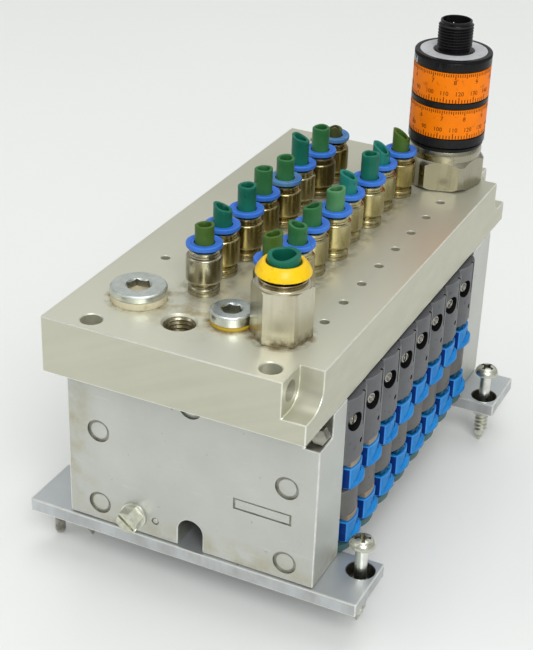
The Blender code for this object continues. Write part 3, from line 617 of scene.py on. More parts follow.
def end_plate(side):
    front = side < 0
    face = side * (75.0 if front else 74.6)
    low, high = sorted((face, side * 56.15))
    solid = block((END_LEFT, low, END_BOTTOM), (END_RIGHT, high, END_TOP))
    cuts = bmesh.new()
    if front:
        outline = [(-3.25, 18.0), (5.25, 18.0), *arc((1.0, 25.75), 4.25, 0, 180, 20)]
        prism(outline, 1, face - 2, face + 20, into=cuts)
        block((37.7, face - 2, 68.6), (45.0, face + 9, 78.0), into=cuts)
    solid = soften(carve(solid, [cuts], inside=INSIDE) if front else solid, 0.45)
    tools = []
    discs = bmesh.new()
    for x, z in ((-31.3, 53.0), (-31.3, 26.2), (33.0, 53.0), (33.2, 26.0), (0.7, 71.0)):
        tools.append(rod((x, face + side * 2.0, z), (x, face - side * 0.7, z), 3.9, 48))
        disc = lathe([(0, 0.45), (2.6, 0.45), (2.9, 0.25), (3.0, -0.1), (0, -0.1)], (0, 0), 48)
        turned = rotation(-90 * side, "X")
        disc.transform(Matrix.Translation((x, face - side * 0.7, z)) @ turned)
        discs = merge(discs, disc)
    if front:
        tools.append(block((15.6, face - 1, 40.0), (34.9, face + 0.30, 44.0)))
        tools.append(rod((-11.3, face - 1, 25.8), (-11.3, face + 0.3, 25.8), 1.3, 24))
    for tool in tools:
        solid = carve(solid, [tool], inside=INSIDE)
    name = "front" if front else "rear"
    piece(f"ejector_discs_{name}", discs, "cast", smooth=35)
    # Insides of the arch, pocket, disc recesses and marks take the darker recess look: painted shade.
    piece(f"end_plate_{name}_casting", solid, "cast", nodes=(f"end_plate_{name}",),
        smooth=28, inside="recess")
    if front:
        inner = block((16.3, face + 0.02, 40.6), (34.2, face + 0.5, 43.4))
        piece("maker_field_blank", soften(inner, 0.12), "cast")
        mark = lathe([(0, 0.3), (0.75, 0.3), (0.95, 0.0), (0, 0.0)], (0, 0), 20)
        mark.transform(Matrix.Translation((-11.3, face + 0.28, 25.8)) @ rotation(90, "X"))
        piece("small_cast_mark", mark, "cast")
        head = soften(prism(polygon(6, 2.9), 2, 0.0, 2.8), 0.25)
        head.transform(Matrix.Translation((41.0, face + 5.0, 72.0)) @ rotation(90, "X"))
        piece("clamp_screw_head", head, "point")
        earth_screw(face)


def earth_screw(face):
    x, z = -18.8, 25.8
    place = Matrix.Translation((x, face, z)) @ rotation(90, "X")
    washer = lathe([(1.8, 0.05), (4.35, 0.05), (4.5, 0.3), (4.4, 0.9), (4.1, 1.05), (1.8, 1.05)], (0, 0),
        40, closed=True)
    washer.transform(place)
    piece("earth_screw_washer", washer, "screw")
    hexagon = prism(polygon(6, 3.95, turn=math.radians(14)), 2, 1.0, 5.2)
    dome = lathe([(0, 0.5), (4.6, 0.5), (4.6, 4.3), (3.6, 5.1), (3.0, 5.2), (0, 5.2)], (0, 0), 40)
    head = carve(hexagon, [dome], "INTERSECT")
    slot_tool = block((-6, -0.5, 3.8), (6, 0.5, 7))
    slot_tool.transform(rotation(-38, "Z"))
    head = soften(carve(head, [slot_tool]), 0.12, angle=35)
    head.transform(place)
    piece("earth_screw_head", head, "screw", smooth=30)


def mounting_bar(side):
    sign = -1 if side == "front" else 1
    y = -64.4 if side == "front" else 63.3
    hole = (SCREW_X, SCREW_Y[side])
    outline = [(-57.4, y - 11.3), (57.4, y - 11.3), (57.4, y + 11.3), (-57.4, y + 11.3)]
    solid = soften(prism(outline, 2, BAR_BOTTOM, BAR_TOP), 0.45)
    bore = lathe([(0, 13), (2.75, 13), (2.75, 15.3), (4.4, 15.3), (4.4, 19.1), (4.8, 19.5), (4.8, 21),
        (0, 21)], hole, 44)
    solid = carve(solid, [bore], inside=INSIDE)
    # The bore's inside takes the near-black groove look: painted shade.
    piece(f"mounting_bar_{side}_body", solid, "bar", nodes=(f"mounting_bar_{side}",),
        smooth=28, inside="groove_painted_shade")
    bush = lathe([(2.72, 15.28), (3.9, 15.28), (3.9, 14.7), (4.6, 14.6), (4.5, 13.9), (3.6, 12.6),
        (2.72, 12.5)], hole, 40, closed=True)
    piece(f"screw_bush_{side}", bush, "point", smooth=40)
    pin = lathe([(0, 0.0), (0.9, 0.1), (1.5, 0.6), (1.8, 1.5), (1.8, 13.6), (2.4, 14.0), (2.4, 14.9),
        (0, 14.9)], (-54.0, sign * 64.3), 28)
    piece(f"stud_outer_{side}", pin, "point", smooth=40)
    profile = [(0, 0.0), (0.5, 0.5)]
    for k in range(6):
        z = 2.6 + k * 1.75
        root = 1.0 if k == 0 else 1.75
        profile += [(root, z - 0.6), (1.5 if k == 0 else 2.25, z), (root + 0.05, z + 0.6)]
    profile += [(2.0, 13.4), (2.9, 13.8), (2.9, 14.9), (0, 14.9)]
    stud = lathe(profile, (-43.7, sign * 60.7), 28, warp=lambda a, r, z: z + 0.3 * math.cos(a) * (r > 0.9))
    piece(f"stud_inner_{side}", stud, "point", smooth=40)


def mounting_screw(side, turn):
    head = lathe([(0, 3.0), (1.6, 2.95), (2.7, 2.65), (3.5, 2.1), (3.95, 1.4), (4.15, 0.75), (4.12, 0.3),
        (3.95, 0.0), (2.0, -0.1), (0, -0.1)], (0, 0), 48, base=SCREW_HEAD)
    tools = []
    for k in range(2):
        arm = block((-2.5, -0.55, SCREW_HEAD + 1.0), (2.5, 0.55, SCREW_HEAD + 4.0))
        arm.transform(rotation(turn + 90 * k, "Z"))
        tools.append(arm)
    middle = lathe([(0, 0.8), (1.15, 1.2), (1.35, 4.0), (0, 4.0)], (0, 0), 20, base=SCREW_HEAD)
    head = carve(head, [*tools, middle], inside=INSIDE)
    head.transform(Matrix.Translation((SCREW_X, SCREW_Y[side], 0)))
    body = f"mounting_screw_{side}"
    # The slots' insides take the darker groove look: painted shade.
    piece(f"screw_head_{side}", head, "screw", body, nodes=(body,), smooth=35,
        inside="screw_slot_painted_shade")
    profile = [(0, SCREW_HEAD + 0.05), (2.0, SCREW_HEAD + 0.05), (2.0, 12.4)]
    z = 12.2
    while z > 3.8:
        crest = 2.4 if z > 5.5 else 1.7
        profile += [(1.72, z), (crest, z - 0.55), (crest, z - 0.7), (1.72, z - 1.2)]
        z -= 1.55
    profile += [(1.3, 2.9), (0.35, 0.35), (0, 0.0)]
    shank = lathe(profile, (SCREW_X, SCREW_Y[side]), 36,
        warp=lambda a, r, z: z + 0.38 * math.cos(a) * (1.71 < r and z < 12.3))
    piece(f"screw_shank_{side}", shank, "screw", body, smooth=40)


# ---------------------------------------------------------------- valve slices

FACE_RADIUS = 11.8
FACE_CENTRE_Y = 0.5
FACE_FRONT = 44.8
RECESS_BACK = 40.0
BLOCK_BACK, BLOCK_FRONT = 41.55, 45.0
BLOCK_LOW, BLOCK_HIGH = -4.0, 5.6
BLOCK_HALF = 3.65
OVERRIDE_HEIGHTS = {"upper": 46.35, "lower": 26.45}
COVER_SCREW = (-3.0, 66.8)


def face_x(y, front=FACE_FRONT):
    """How far out a slice's rounded face stands at a place across the slice."""
    return front - FACE_RADIUS + math.sqrt(FACE_RADIUS ** 2 - (y - FACE_CENTRE_Y) ** 2)


def face_outline(low, high, back, front=FACE_FRONT, steps=14):
    places = [low + (high - low) * i / steps for i in range(steps + 1)]
    return [(back, low), *[(face_x(y, front), y) for y in places], (back, high)]


def moved(bm, y, z=0.0):
    bm.transform(Matrix.Translation((0, y, z)))
    return bm


def housing(y, n):
    back, front = -42.1, 41.9
    levels = sorted(OVERRIDE_HEIGHTS.values())
    outline = [(back, 19.8), (front, 19.8)]
    for z in levels:
        outline += [(front, z - 4.15), (RECESS_BACK, z - 4.15), (RECESS_BACK, z + 5.75), (front, z + 5.75)]
    outline += [(front, 75.6), (front - 0.6, 76.6), (back + 0.5, 76.6), (back, 76.0)]
    body = soften(prism(outline, 1, -SLICE_HALF, SLICE_HALF), 0.25)
    holes = bmesh.new()
    for z in (30.0, 42.0, 54.0, 66.0):
        block((-44, -3.6, z - 0.6), (-41.7, 3.6, z + 0.6), into=holes)
    rod((-28.8, 0, 61.0), (25.8, 0, 61.0), 3.5, 20, into=holes)
    for z in levels:
        rod((33.5, 0, z), (41.0, 0, z), 1.9, 16, into=holes)
    # The housing takes the near-black look: painted shade.
    piece(f"slice_{n}_housing", moved(carve(body, [holes]), y), "housing", nodes=(f"valve_slice_{n}",))


def cover(y, n):
    """The rounded grey cover with its sunk screw, locating slot and small hole."""
    body = soften(prism(face_outline(-6.35, 6.75, 41.8), 2, 52.25, 75.2), 0.3, 2, 40)
    screw_y, screw_z = COVER_SCREW
    slope = math.asin((FACE_CENTRE_Y - screw_y) / FACE_RADIUS)
    out = Vector((math.cos(slope), -math.sin(slope), 0))
    middle = Vector((face_x(screw_y), screw_y, screw_z))
    small = Vector((face_x(0.9), 0.9, 58.4))
    tools = [
        rod(middle - out * 1.9, middle + out * 3, 3.15, 40),
        rod(small - Vector((1.2, 0, 0)), small + Vector((2, 0, 0)), 0.85, 20),
        block((face_x(1.8) - 0.9, 1.45, 63.5), (46, 2.2, 76)),
    ]
    # The cuts' insides take the near-black hollow look: painted shade.
    piece(f"slice_{n}_cover", moved(carve(body, tools, inside=INSIDE), y), "cover",
        smooth=35, inside="hollow")
    place = Matrix.Translation(middle - out * 1.95) @ out.to_track_quat("Z", "Y").to_matrix().to_4x4()
    # A near-black cup lines the screw's well: painted shade.
    cup = lathe([(0, 0.0), (3.12, 0.0), (3.12, 1.5), (3.0, 1.5), (3.0, 0.12), (0, 0.12)], (0, 0), 40)
    cup.transform(place)
    piece(f"slice_{n}_screw_well", moved(cup, y), "hollow", smooth=40)
    screw = lathe([(0, 1.35), (0.75, 1.35), (0.85, 1.15), (1.1, 1.15), (1.2, 1.3), (1.6, 1.2), (1.85, 0.8),
        (1.85, 0.1), (0, 0.1)], (0, 0), 36)
    groove = block((-3, -0.3, 0.9), (3, 0.3, 2))
    groove.transform(rotation(DICE.uniform(20, 160), "Z"))
    screw = carve(screw, [groove])
    screw.transform(place @ Matrix.Translation((-0.35, 0.55, 0)))
    piece(f"slice_{n}_cover_screw", moved(screw, y), "cover_screw", smooth=35)


def valve_slice(index):
    y = slice_y(index)
    n = index + 1
    housing(y, n)
    cover(y, n)
    # A band at the right of each cover, in the lighter ridge look: a painted highlight.
    ridge = face_outline(2.35, 6.72, 42.0, FACE_FRONT + 0.15, 8)
    ridge = soften(prism(ridge, 2, 52.6, 75.0), 0.3, 3, 40)
    piece(f"slice_{n}_ridge", moved(ridge, y), "ridge")
    lobe = prism(face_outline(-6.3, 6.7, 41.7, FACE_FRONT - 0.4), 2, 32.45, 42.1)
    notch = block((43.4, -7.5, 32.0), (47, -5.6, 34.6))
    piece(f"slice_{n}_lobe", moved(carve(soften(lobe, 0.35, 3, 40), [notch]), y), "lobe")
    foot = prism(face_outline(-6.6, 6.7, 41.7), 2, 19.75, 22.3)
    piece(f"slice_{n}_foot", moved(soften(foot, 0.3, 2, 40), y), "foot")
    if index < 2:
        for level, z in OVERRIDE_HEIGHTS.items():
            strip = prism(face_outline(-3.2, 6.75, 41.0, 44.5, 10), 2, z + 3.75, z + 5.8)
            piece(f"slice_{n}_strip_{level}", moved(soften(strip, 0.15, 1, 40), y), "tan")


def skin(rings):
    """Joins rings of the same number of points with quads and caps both ends."""
    bm = bmesh.new()
    rows = [[bm.verts.new(point) for point in ring] for ring in rings]
    for one, other in zip(rows, rows[1:]):
        for i in range(len(one)):
            j = (i + 1) % len(one)
            bm.faces.new((one[i], one[j], other[j], other[i]))
    bm.faces.new(rows[0])
    bm.faces.new(list(reversed(rows[-1])))
    return bm


def override_block(index, level):
    n = index + 1
    y, z = slice_y(index), OVERRIDE_HEIGHTS[level]
    body = f"override_{level}_{n}"
    cupped = index >= 2
    outline = face_outline(BLOCK_LOW, BLOCK_HIGH, BLOCK_BACK, BLOCK_FRONT)
    outline[0:1] = [(BLOCK_BACK, BLOCK_LOW - 0.4), (BLOCK_BACK + 0.9, BLOCK_LOW - 0.4)]
    main = soften(prism(outline, 2, -BLOCK_HALF, BLOCK_HALF), 0.28, 2, 40)
    slot_x = face_x(4.1, BLOCK_FRONT)
    tools = [soften(block((slot_x - 0.7, 3.75, 0.7), (slot_x + 2, 4.5, 2.9)), 0.15)]
    tools.append(prism(face_outline(-2.6, 2.9, 46, BLOCK_FRONT - 0.16, 8), 2, -1.5, 2.4))
    if cupped:
        cup = face_outline(BLOCK_LOW + 0.9, BLOCK_HIGH - 0.8, 41, BLOCK_FRONT - 0.85)
        tools.append(prism(cup, 2, 0.6, 5))
    stem = rod((BLOCK_BACK - 6.0, 0, 0), (BLOCK_BACK + 0.3, 0, 0), 1.5, 20)
    main = carve(carve(main, tools), [stem], "UNION")
    piece(f"{body}_block", moved(main, y, z), "block", body, nodes=(body,),
        smooth=35)
    rings = []
    for i in range(21):
        u = i / 20
        across = BLOCK_LOW + 0.1 + (BLOCK_HIGH - BLOCK_LOW - 0.15) * u
        face = face_x(across, BLOCK_FRONT)
        swell = min(1.0, u * 1.25)
        reach = 0.06 + 1.15 * swell * math.sqrt(max(0.0, 1.0 - max(0.0, u - 0.86) ** 2 * 45))
        top = -2.9 + 2.9 * swell ** 1.2
        rings.append([(face - 0.5, across, -3.6), (face + reach * 0.7, across, -3.6),
            (face + reach, across, -3.25), (face + reach, across, top - 0.75),
            (face + reach * 0.75, across, top - 0.3), (face - 0.5, across, top)])
    piece(f"{body}_lip", moved(skin(rings), y, z), "block", body, smooth=50)
    if cupped:
        back = prism(face_outline(-2.7, 4.9, BLOCK_BACK + 0.2, 43.9, 8), 2, 0.5, 5.55)
        piece(f"{body}_plunger_guide", moved(soften(back, 0.3, 2, 40), y, z), "pocket", body)
        knob = lathe([(0, 0.25), (0.9, 0.25), (1.05, 0.55), (1.55, 0.6), (1.8, 0.35), (1.85, -1.0),
            (0, -1.0)], (0, 0), 32)
        knob.transform(Matrix.Translation((43.75, 0.6, 3.8)) @ rotation(90, "Y"))
        piece(f"{body}_plunger", moved(knob, y, z), "pocket", body, smooth=40)


# ---------------------------------------------------------------- fittings

FIT_BODY = [(0, 0.05), (4.75, 0.05), (4.9, 0.3), (4.9, 1.0), (4.72, 1.15), (4.72, 1.35), (4.9, 1.5),
    (4.9, 2.15), (4.7, 2.4), (4.35, 2.65), (4.3, 3.1), (4.55, 3.45), (5.2, 4.15), (5.5, 4.7), (5.55, 5.1),
    (5.55, 11.75), (5.48, 12.1), (5.25, 12.4), (4.95, 12.5), (4.75, 12.62), (4.72, 13.05), (4.5, 13.2),
    (4.5, 13.5), (4.72, 13.65), (4.74, 14.1), (4.5, 14.35), (3.7, 14.4), (3.7, 10.0), (0, 10.0)]
COLLAR = [(3.25, 15.3), (5.3, 15.2), (5.5, 15.28), (5.6, 15.5), (5.6, 16.3), (5.5, 16.55), (5.3, 16.68),
    (4.9, 16.7), (4.25, 16.62), (4.0, 16.45), (3.75, 16.35), (3.5, 16.42), (3.3, 16.4), (3.25, 16.2)]
# Height above the collar, colour, slope of the cut and its direction in degrees.
TUBE_STUBS = {
    "left": ((5.5, "olive", 0.06, 0), (6.0, "teal", 0.42, 200), (7.6, "teal", 0.05, 40),
             (7.8, "green", 0.05, 10), (6.7, "green", 0.08, 90), (9.2, "teal", 0.40, 190),
             (7.7, "green", 0.04, 60), (2.7, "dark", 0.18, 330)),
    "right": ((8.0, "olive", 0.22, 20), (5.7, "green", 0.24, 200), (6.1, "green", 0.34, 10),
              (6.5, "light", 0.18, 20), (6.1, "sea", 0.46, 195), (8.1, "teal", 0.06, 30),
              (6.0, "sea", 0.75, 185), (6.4, "olive", 0.70, 195)),
}
BRASS = {"left": ("nickel", "brass_a", "brass_a", "brass_c", "brass_a", "brass_b", "brass_c", "brass_c"),
         "right": ("brass_a", "brass_b", "brass_b", "brass_b", "brass_b", "brass_b", "brass_b", "brass_a")}


def cut_tube(name, centre, low, high, outer, inner, shade, slope, direction, body=ROOT, wobble=0.0, seed=0):
    """A cut-off tube with a thick wall, whose end is cut at a slope."""
    dice = random.Random(seed)
    phases = [dice.uniform(0, 6.28) for _ in range(3)]
    turn = math.radians(direction)

    def warp(a, radius, height):
        if height < high - 1.6:
            return height
        z = height + slope * radius * math.cos(a - turn)
        for k, phase in enumerate(phases):
            z += wobble * math.sin((k + 2) * a + phase) / (k + 1)
        return z

    profile = [(outer, low), (outer, high - 1.65), (outer, high - 0.18), (outer - 0.18, high),
        (inner + 0.18, high), (inner, high - 0.2), (inner, high - 1.65), (inner, low)]
    tube = lathe(profile, centre, 40, closed=True, warp=warp)
    piece(name, tube, "tube_" + shade, body, smooth=45)


def small_fittings():
    for row, index, centre in fitting_places():
        n = index + 1
        label = f"fitting_{row}_{n}"
        body = lathe(FIT_BODY, centre, 48, base=PLATE_TOP)
        replaced = ("port_fittings",) if label == "fitting_left_1" else ()
        piece(f"{label}_body", body, BRASS[row][index], nodes=replaced, smooth=40)
        # A near-black disc closes each fitting's throat: painted shade.
        well = lathe([(0, 13.2), (3.6, 13.2), (3.65, 14.1), (3.5, 14.2), (0, 14.2)], centre, 36,
            base=PLATE_TOP)
        piece(f"{label}_throat", well, "hollow")
        ride = f"release_collar_{row}_{n}"
        tilt = None
        if (row, index) == ("left", 7):
            pivot = Matrix.Translation((centre[0], centre[1], PLATE_TOP + 16.0))
            raised = Matrix.Translation((0, 0, 0.5))
            lean = Matrix.Rotation(math.radians(4.5), 4, Vector((0.5, 1, 0)))
            tilt = raised @ pivot @ lean @ pivot.inverted()
        look = "collar_dusty" if (row, index) in {("left", 7), ("left", 4)} else "collar"
        collar = lathe(COLLAR, centre, 48, closed=True, base=PLATE_TOP)
        piece(f"{label}_collar", collar, look, ride, nodes=(ride,), smooth=28,
            lean=tilt)
        stub, shade, slope, direction = TUBE_STUBS[row][index]
        cut_tube(f"{label}_tube", centre, PLATE_TOP + 13.9, PLATE_TOP + 16.7 + stub - slope * 1.6, 2.95,
            1.9, shade, slope, direction, wobble=0.10 if stub > 3 else 0.45, seed=index + 20)


def large_fitting():
    centre, top = LARGE_FITTING, PLATE_TOP
    hexagon = prism(polygon(6, 16.0 / math.sqrt(3), centre, math.radians(18)), 2, top + 0.3, top + 16.6)
    shape = lathe([(0, top), (9.0, top), (9.35, top + 0.5), (9.35, top + 15.9), (8.65, top + 16.6),
        (0, top + 16.6)], centre, 64)
    hexagon = carve(hexagon, [shape], "INTERSECT")
    piece("large_fitting_hexagon", hexagon, "hexnickel", smooth=24)
    # The foot and the neck take the darker groove brass: stains, and painted shade.
    foot = lathe([(0, top + 0.02), (8.5, top + 0.02), (8.6, top + 0.35), (0, top + 0.4)], centre, 48)
    piece("large_fitting_foot", foot, "groove")
    bead = lathe([(6.5, 16.4), (8.0, 16.4), (8.2, 16.8), (8.15, 17.2), (7.9, 17.55), (7.3, 17.7),
        (6.5, 17.7)], centre, 64, closed=True, base=top)
    piece("large_fitting_bead", bead, "hexnickel", smooth=45)
    neck = lathe([(5.2, 17.5), (7.25, 17.5), (7.1, 17.9), (7.15, 18.4), (7.3, 18.6), (7.1, 18.8),
        (5.2, 18.8)], centre, 56, closed=True, base=top)
    piece("large_fitting_neck", neck, "groove", smooth=45)
    # A near-black sleeve fills the gap under the release collar: painted shade.
    sleeve = lathe([(4.95, 17.6), (5.9, 17.6), (5.9, 20.1), (4.95, 20.1)], centre, 40, closed=True,
        base=top)
    piece("large_fitting_sleeve", sleeve, "hollow", "release_collar_large")
    dome = lathe([(5.1, 20.05), (7.95, 20.0), (8.2, 20.25), (8.18, 20.75), (7.6, 21.95), (6.85, 23.05),
        (6.35, 23.5), (5.9, 23.68), (5.5, 23.68), (5.25, 23.5), (5.1, 23.2)], centre, 72, closed=True,
        base=top)
    piece("large_fitting_collar", dome, "yellow", "release_collar_large", nodes=("release_collar_large",),
        smooth=45)
    cut_tube("large_fitting_tube", centre, top + 17.5, top + 25.6, 4.8, 3.35, "teal", 0.10, 60,
        wobble=0.22, seed=3)


def plug(name, centre, radius, seal, height, socket, seal_look):
    top = PLATE_TOP
    washer = lathe([(4, 0.02), (radius - 0.15, 0.02), (radius - 0.02, 0.25), (radius - 0.02, seal - 0.2),
        (radius - 0.15, seal), (4, seal)], centre, 64, closed=True, base=top)
    piece(f"{name}_seal", washer, seal_look, smooth=40)
    head = lathe([(0, seal + 0.02), (radius - 0.35, seal + 0.02), (radius, seal + 0.3),
        (radius, height - 0.6), (radius - 0.08, height - 0.4), (radius - 0.5, height - 0.06),
        (radius - 0.7, height), (0, height)], centre, 72, base=top)
    hexagon = prism(polygon(6, socket / math.sqrt(3), centre, math.radians(9)), 2, top + height - 2.5,
        top + height + 1)
    mouth = lathe([(0, height - 0.45), (socket / 2 + 0.12, height - 0.45),
        (socket / 2 + 0.62, height + 0.05), (socket / 2 + 0.62, height + 1), (0, height + 1)], centre, 40,
        base=top)
    head = carve(carve(head, [mouth]), [hexagon], inside=INSIDE)
    # The socket's inside takes the darker socket look: painted shade.
    piece(f"{name}_head", head, "zinc", smooth=28, inside="socket")


# ---------------------------------------------------------------- pressure switch

def digits_mesh(text, size, angle, height, radius, centre):
    """A number laid round a ring, upright, with its middle at that angle and height."""
    curve = bpy.data.curves.new("digits", "FONT")
    curve.body = text
    curve.size = size
    curve.align_x = "CENTER"
    curve.align_y = "CENTER"
    curve.resolution_u = 3
    obj = bpy.data.objects.new("digits", curve)
    bpy.context.scene.collection.objects.link(obj)
    bpy.context.view_layer.update()
    mesh = bpy.data.meshes.new_from_object(obj.evaluated_get(bpy.context.evaluated_depsgraph_get()))
    bm = bmesh.new()
    bm.from_mesh(mesh)
    bpy.data.objects.remove(obj, do_unlink=True)
    bpy.data.curves.remove(curve)
    bpy.data.meshes.remove(mesh)
    for v in bm.verts:
        a = angle + v.co.x / radius
        v.co = Vector((*polar(centre, radius, a), height + v.co.y))
    return bm


def merge(into, bm):
    mesh = bpy.data.meshes.new("part")
    bm.to_mesh(mesh)
    bm.free()
    into.from_mesh(mesh)
    bpy.data.meshes.remove(mesh)
    return into


def tick(bm, angle, low, high, width, radius, centre):
    """A small mark laid on a ring."""
    corners = []
    for across, z in ((-width, low), (width, low), (width, high), (-width, high)):
        a = angle + across / 2 / radius
        corners.append(bm.verts.new((*polar(centre, radius, a), z)))
    bm.faces.new(corners)


FACING = math.radians(-72.05)


def scale_ring(node, low, high, phase_bar, phase_psi):
    centre = SENSOR
    outer = 13.3
    ring = lathe([(11.3, low), (outer - 0.12, low), (outer, low + 0.12), (outer, high - 0.12),
        (outer - 0.12, high), (11.3, high)], centre, 96, closed=True)
    piece(f"{node}_band", ring, "orange", node, nodes=(node,), smooth=40)
    ink = bmesh.new()
    per_bar, per_ten = math.radians(33.8), math.radians(22.8)
    radius = outer + 0.03
    for k in range(81):
        value = 2 + k * 0.1
        a = FACING + phase_bar + (value - 8) * per_bar
        long = 1.75 if k % 10 == 0 else 1.4 if k % 5 == 0 else 1.05
        tick(ink, a, high - 0.15 - long, high - 0.15, 0.26, radius, centre)
    for k in range(56):
        value = 30 + k * 2
        a = FACING + phase_psi + (value - 110) / 10 * per_ten
        long = 1.95 if k % 5 == 0 else 1.25
        tick(ink, a, low + 0.15, low + 0.15 + long, 0.28, radius, centre)
    for value in range(2, 11):
        a = FACING + phase_bar + (value - 8) * per_bar
        merge(ink, digits_mesh(str(value), 2.15, a, high - 3.15, radius, centre))
    for value in range(30, 150, 10):
        a = FACING + phase_psi + (value - 110) / 10 * per_ten
        merge(ink, digits_mesh(str(value), 2.1, a, low + 3.35, radius, centre))
    piece(f"{node}_scale", ink, "ink", node)


def pressure_sensor():
    centre, top = SENSOR, PLATE_TOP
    hexagon = prism(polygon(6, 25.0 / math.sqrt(3), centre, math.radians(16.5)), 2, top + 0.3, top + 10.7)
    shape = lathe([(0, 0), (12.7, 0.0), (13.85, 1.1), (13.85, 9.2), (12.95, 10.3), (12.5, 10.7),
        (0, 10.7)], centre, 96, base=top)
    hexagon = carve(hexagon, [shape], "INTERSECT")
    piece("sensor_hexagon", hexagon, "steel", nodes=("sensor_body",), smooth=24)
    neck = lathe([(0, 10.4), (12.45, 10.4), (12.4, 11.6), (12.75, 12.4), (12.7, 13.4), (12.2, 14.6),
        (0, 14.7)], centre, 96, base=top)
    piece("sensor_shoulder", neck, "steel", smooth=40)
    skirt = lathe([(0, 14.5), (12.0, 14.5), (12.7, 14.75), (12.9, 15.2), (12.9, 15.9), (12.6, 16.1),
        (12.9, 16.3), (13.3, 16.6), (13.3, 19.4), (13.1, 19.6), (11.0, 19.6), (11.0, 30.6), (13.1, 30.6),
        (13.3, 30.8), (13.3, 32.4), (13.1, 32.6), (11.0, 32.6), (11.0, 43.7), (0, 43.7)], centre, 96,
        base=top)
    piece("sensor_core", skirt, "black", smooth=40)
    ring = bmesh.new()
    teeth = 96
    lathe([(6.0, 43.7), (13.1, 43.7), (13.3, 43.9), (13.3, 46.6), (13.32, 46.75), (13.32, 47.35),
        (13.05, 47.7), (11.9, 47.75), (11.7, 47.6), (6.0, 47.6)], centre, teeth * 2, closed=True,
        into=ring, base=top)
    for v in ring.verts:
        out = Vector((v.co.x - centre[0], v.co.y - centre[1]))
        step = round(math.atan2(out.y, out.x) / (math.pi / teeth))
        if out.length > 13.31 and step % 2:
            out *= 0.982
            v.co.x, v.co.y = centre[0] + out.x, centre[1] + out.y
    piece("sensor_lock_ring", ring, "black", smooth=35)
    label = lathe([(7.1, 47.62), (11.55, 47.62), (11.5, 47.74), (7.2, 47.74)], centre, 72, closed=True,
        base=top)
    piece("sensor_lock_label", label, "label")
    marks = bmesh.new()
    radius = 13.34
    for offset in (-74, -66):
        a = FACING + math.radians(offset)
        tick(marks, a, top + 43.95, top + 45.5, 1.1, radius, centre)
        tick(marks, a + 0.03, top + 45.5, top + 46.3, 0.35, radius, centre)
    piece("sensor_lock_marks", marks, "label")
    socket = [(0, 47.5), (6.6, 47.5), (6.6, 47.9), (6.15, 48.1), (5.45, 48.3), (5.45, 48.9)]
    z = 49.0
    while z < 56.6:
        socket += [(5.5, z), (5.98, z + 0.4), (5.98, z + 0.55), (5.5, z + 0.95)]
        z += 1.0
    socket += [(5.5, 56.9), (5.35, 57.2), (5.45, 57.6), (5.35, 58.1), (5.1, 58.25), (4.75, 58.2),
        (4.65, 57.8), (4.65, 52.3), (0, 52.3)]
    turns_low, turns_high = top + 48.95, top + 56.8
    bm = lathe(socket, centre, 64, base=top,
        warp=lambda a, r, h: h + (0.16 * math.cos(a) if turns_low < h < turns_high and r > 5 else 0))
    piece("sensor_connector", bm, "black", smooth=40)
    pins = bmesh.new()
    for k in range(4):
        a = math.radians(45 + 90 * k)
        lathe([(0.5, 52.2), (0.5, 56.2), (0.3, 56.6), (0, 56.6)], polar(centre, 2.1, a), 14, into=pins,
            base=top)
    piece("sensor_connector_pins", pins, "nickel", smooth=45)
    scale_ring("sensor_set_ring", top + 32.9, top + 43.4, math.radians(6.5), math.radians(-8.7))
    scale_ring("sensor_reset_ring", top + 19.9, top + 30.3, math.radians(25.3), math.radians(9.6))


# ---------------------------------------------------------------- stage

CAMERA_AT = Vector((0.1798, -0.4083, 0.3073))
CAMERA_AZIMUTH, CAMERA_ELEVATION, CAMERA_ROLL = 24.98, 28.78, 2.05
LENS = 102.02
LIGHTS = (
    ("overhead_softbox", (0.0, 0.3, 2.2), (0, 0.1, 0), 1.6, 13.0),
    ("left_softbox", (-2.4, -1.6, 1.8), (0, 0, 0.06), 1.6, 9.0),
    ("front_softbox", (1.15, -1.72, 1.9), (0, 0, 0.05), 1.3, 42.0),
)


def floor_and_lights():
    bm = bmesh.new()
    bmesh.ops.create_grid(bm, x_segments=12, y_segments=12, size=3.0)
    mesh = bpy.data.meshes.new("studio_floor")
    bm.to_mesh(mesh)
    bm.free()
    look = Look("floor_pale", [(0.3, (0.79, 0.80, 0.79)), (0.7, (0.81, 0.82, 0.81))], 0.0, (0.55, 0.65),
        scale=3.0, grain=300.0, bump=0.0, specular=0.2)
    mesh.materials.append(look.material)
    floor = bpy.data.objects.new("studio_floor", mesh)
    bpy.context.scene.collection.objects.link(floor)
    for name, place, target, size, power in LIGHTS:
        light = bpy.data.lights.new(name, "AREA")
        light.shape = "RECTANGLE"
        light.size = light.size_y = size
        light.energy = power
        obj = bpy.data.objects.new(name, light)
        obj.location = place
        obj.rotation_euler = (Vector(target) - Vector(place)).to_track_quat("-Z", "Y").to_euler()
        bpy.context.scene.collection.objects.link(obj)


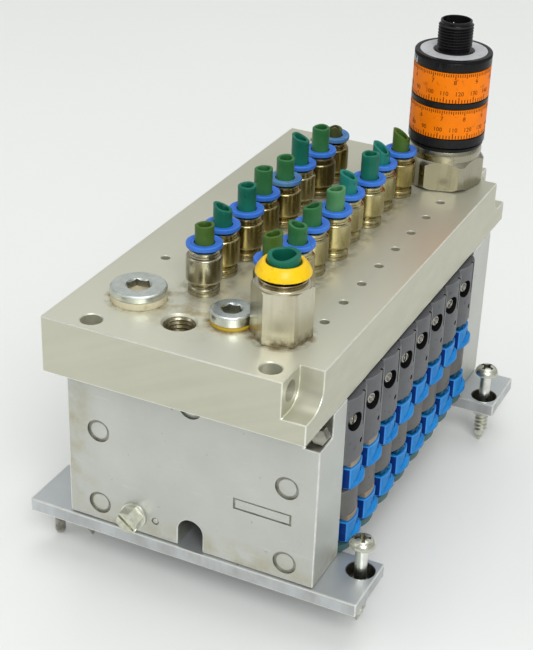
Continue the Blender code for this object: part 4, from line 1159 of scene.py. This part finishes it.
def studio_world():
    """A soft dome: bright overhead, darker near the ground, with broad darker panels."""
    world = bpy.data.worlds.new("studio")
    world.use_nodes = True
    tree = world.node_tree
    way = tree.nodes.new("ShaderNodeTexCoord").outputs["Generated"]
    parts = tree.nodes.new("ShaderNodeSeparateXYZ")
    tree.links.new(way, parts.inputs[0])
    dome = ramp(tree, span(tree, parts.outputs[2], 0.0, 0.8),
        [(0.0, (0.45, 0.46, 0.45)), (0.45, (1.05, 1.07, 1.04)), (1.0, (1.05, 1.06, 1.05))])
    panels = span(tree, noise(tree, way, 1.7, 1.0), 0.38, 0.62, 0.72, 1.18)
    back = tree.nodes["Background"]
    tree.links.new(mix(tree, 1.0, dome, panels, "MULTIPLY"), back.inputs["Color"])
    back.inputs["Strength"].default_value = 0.56
    bpy.context.scene.world = world


def camera():
    az, el, roll = (math.radians(v) for v in (CAMERA_AZIMUTH, CAMERA_ELEVATION, CAMERA_ROLL))
    forward = Vector((-math.sin(az) * math.cos(el), math.cos(az) * math.cos(el), -math.sin(el)))
    right = Vector((math.cos(az), math.sin(az), 0))
    up = right.cross(forward)
    turned = right * math.cos(roll) + up * math.sin(roll)
    upper = up * math.cos(roll) - right * math.sin(roll)
    place = Matrix((turned, upper, -forward)).transposed().to_4x4()
    place.translation = CAMERA_AT
    data = bpy.data.cameras.new("camera")
    data.sensor_fit = "HORIZONTAL"
    data.sensor_width = 36.0
    data.lens = LENS
    data.clip_start = 0.01
    obj = bpy.data.objects.new("camera", data)
    obj.matrix_world = place
    bpy.context.scene.collection.objects.link(obj)
    bpy.context.scene.camera = obj


port_plate()
end_plate(-1)
end_plate(1)
for which, angle in (("front", 25.0), ("rear", 70.0)):
    mounting_bar(which)
    mounting_screw(which, angle)
for number in range(8):
    valve_slice(number)
    for kind in ("upper", "lower"):
        override_block(number, kind)
small_fittings()
large_fitting()
plug("large_plug", LARGE_PLUG, 8.65, 2.15, 4.5, 6.9, "seal")
plug("small_plug", SMALL_PLUG, 6.5, 1.05, 4.4, 5.6, "seal_amber")
pressure_sensor()
for number in range(8):
    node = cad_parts[f"spool_{number + 1}"]
    node.data.materials.clear()
    node.data.materials.append(LOOKS["spool"])
floor_and_lights()
studio_world()
camera()
bpy.context.scene.view_settings.view_transform = "Standard"
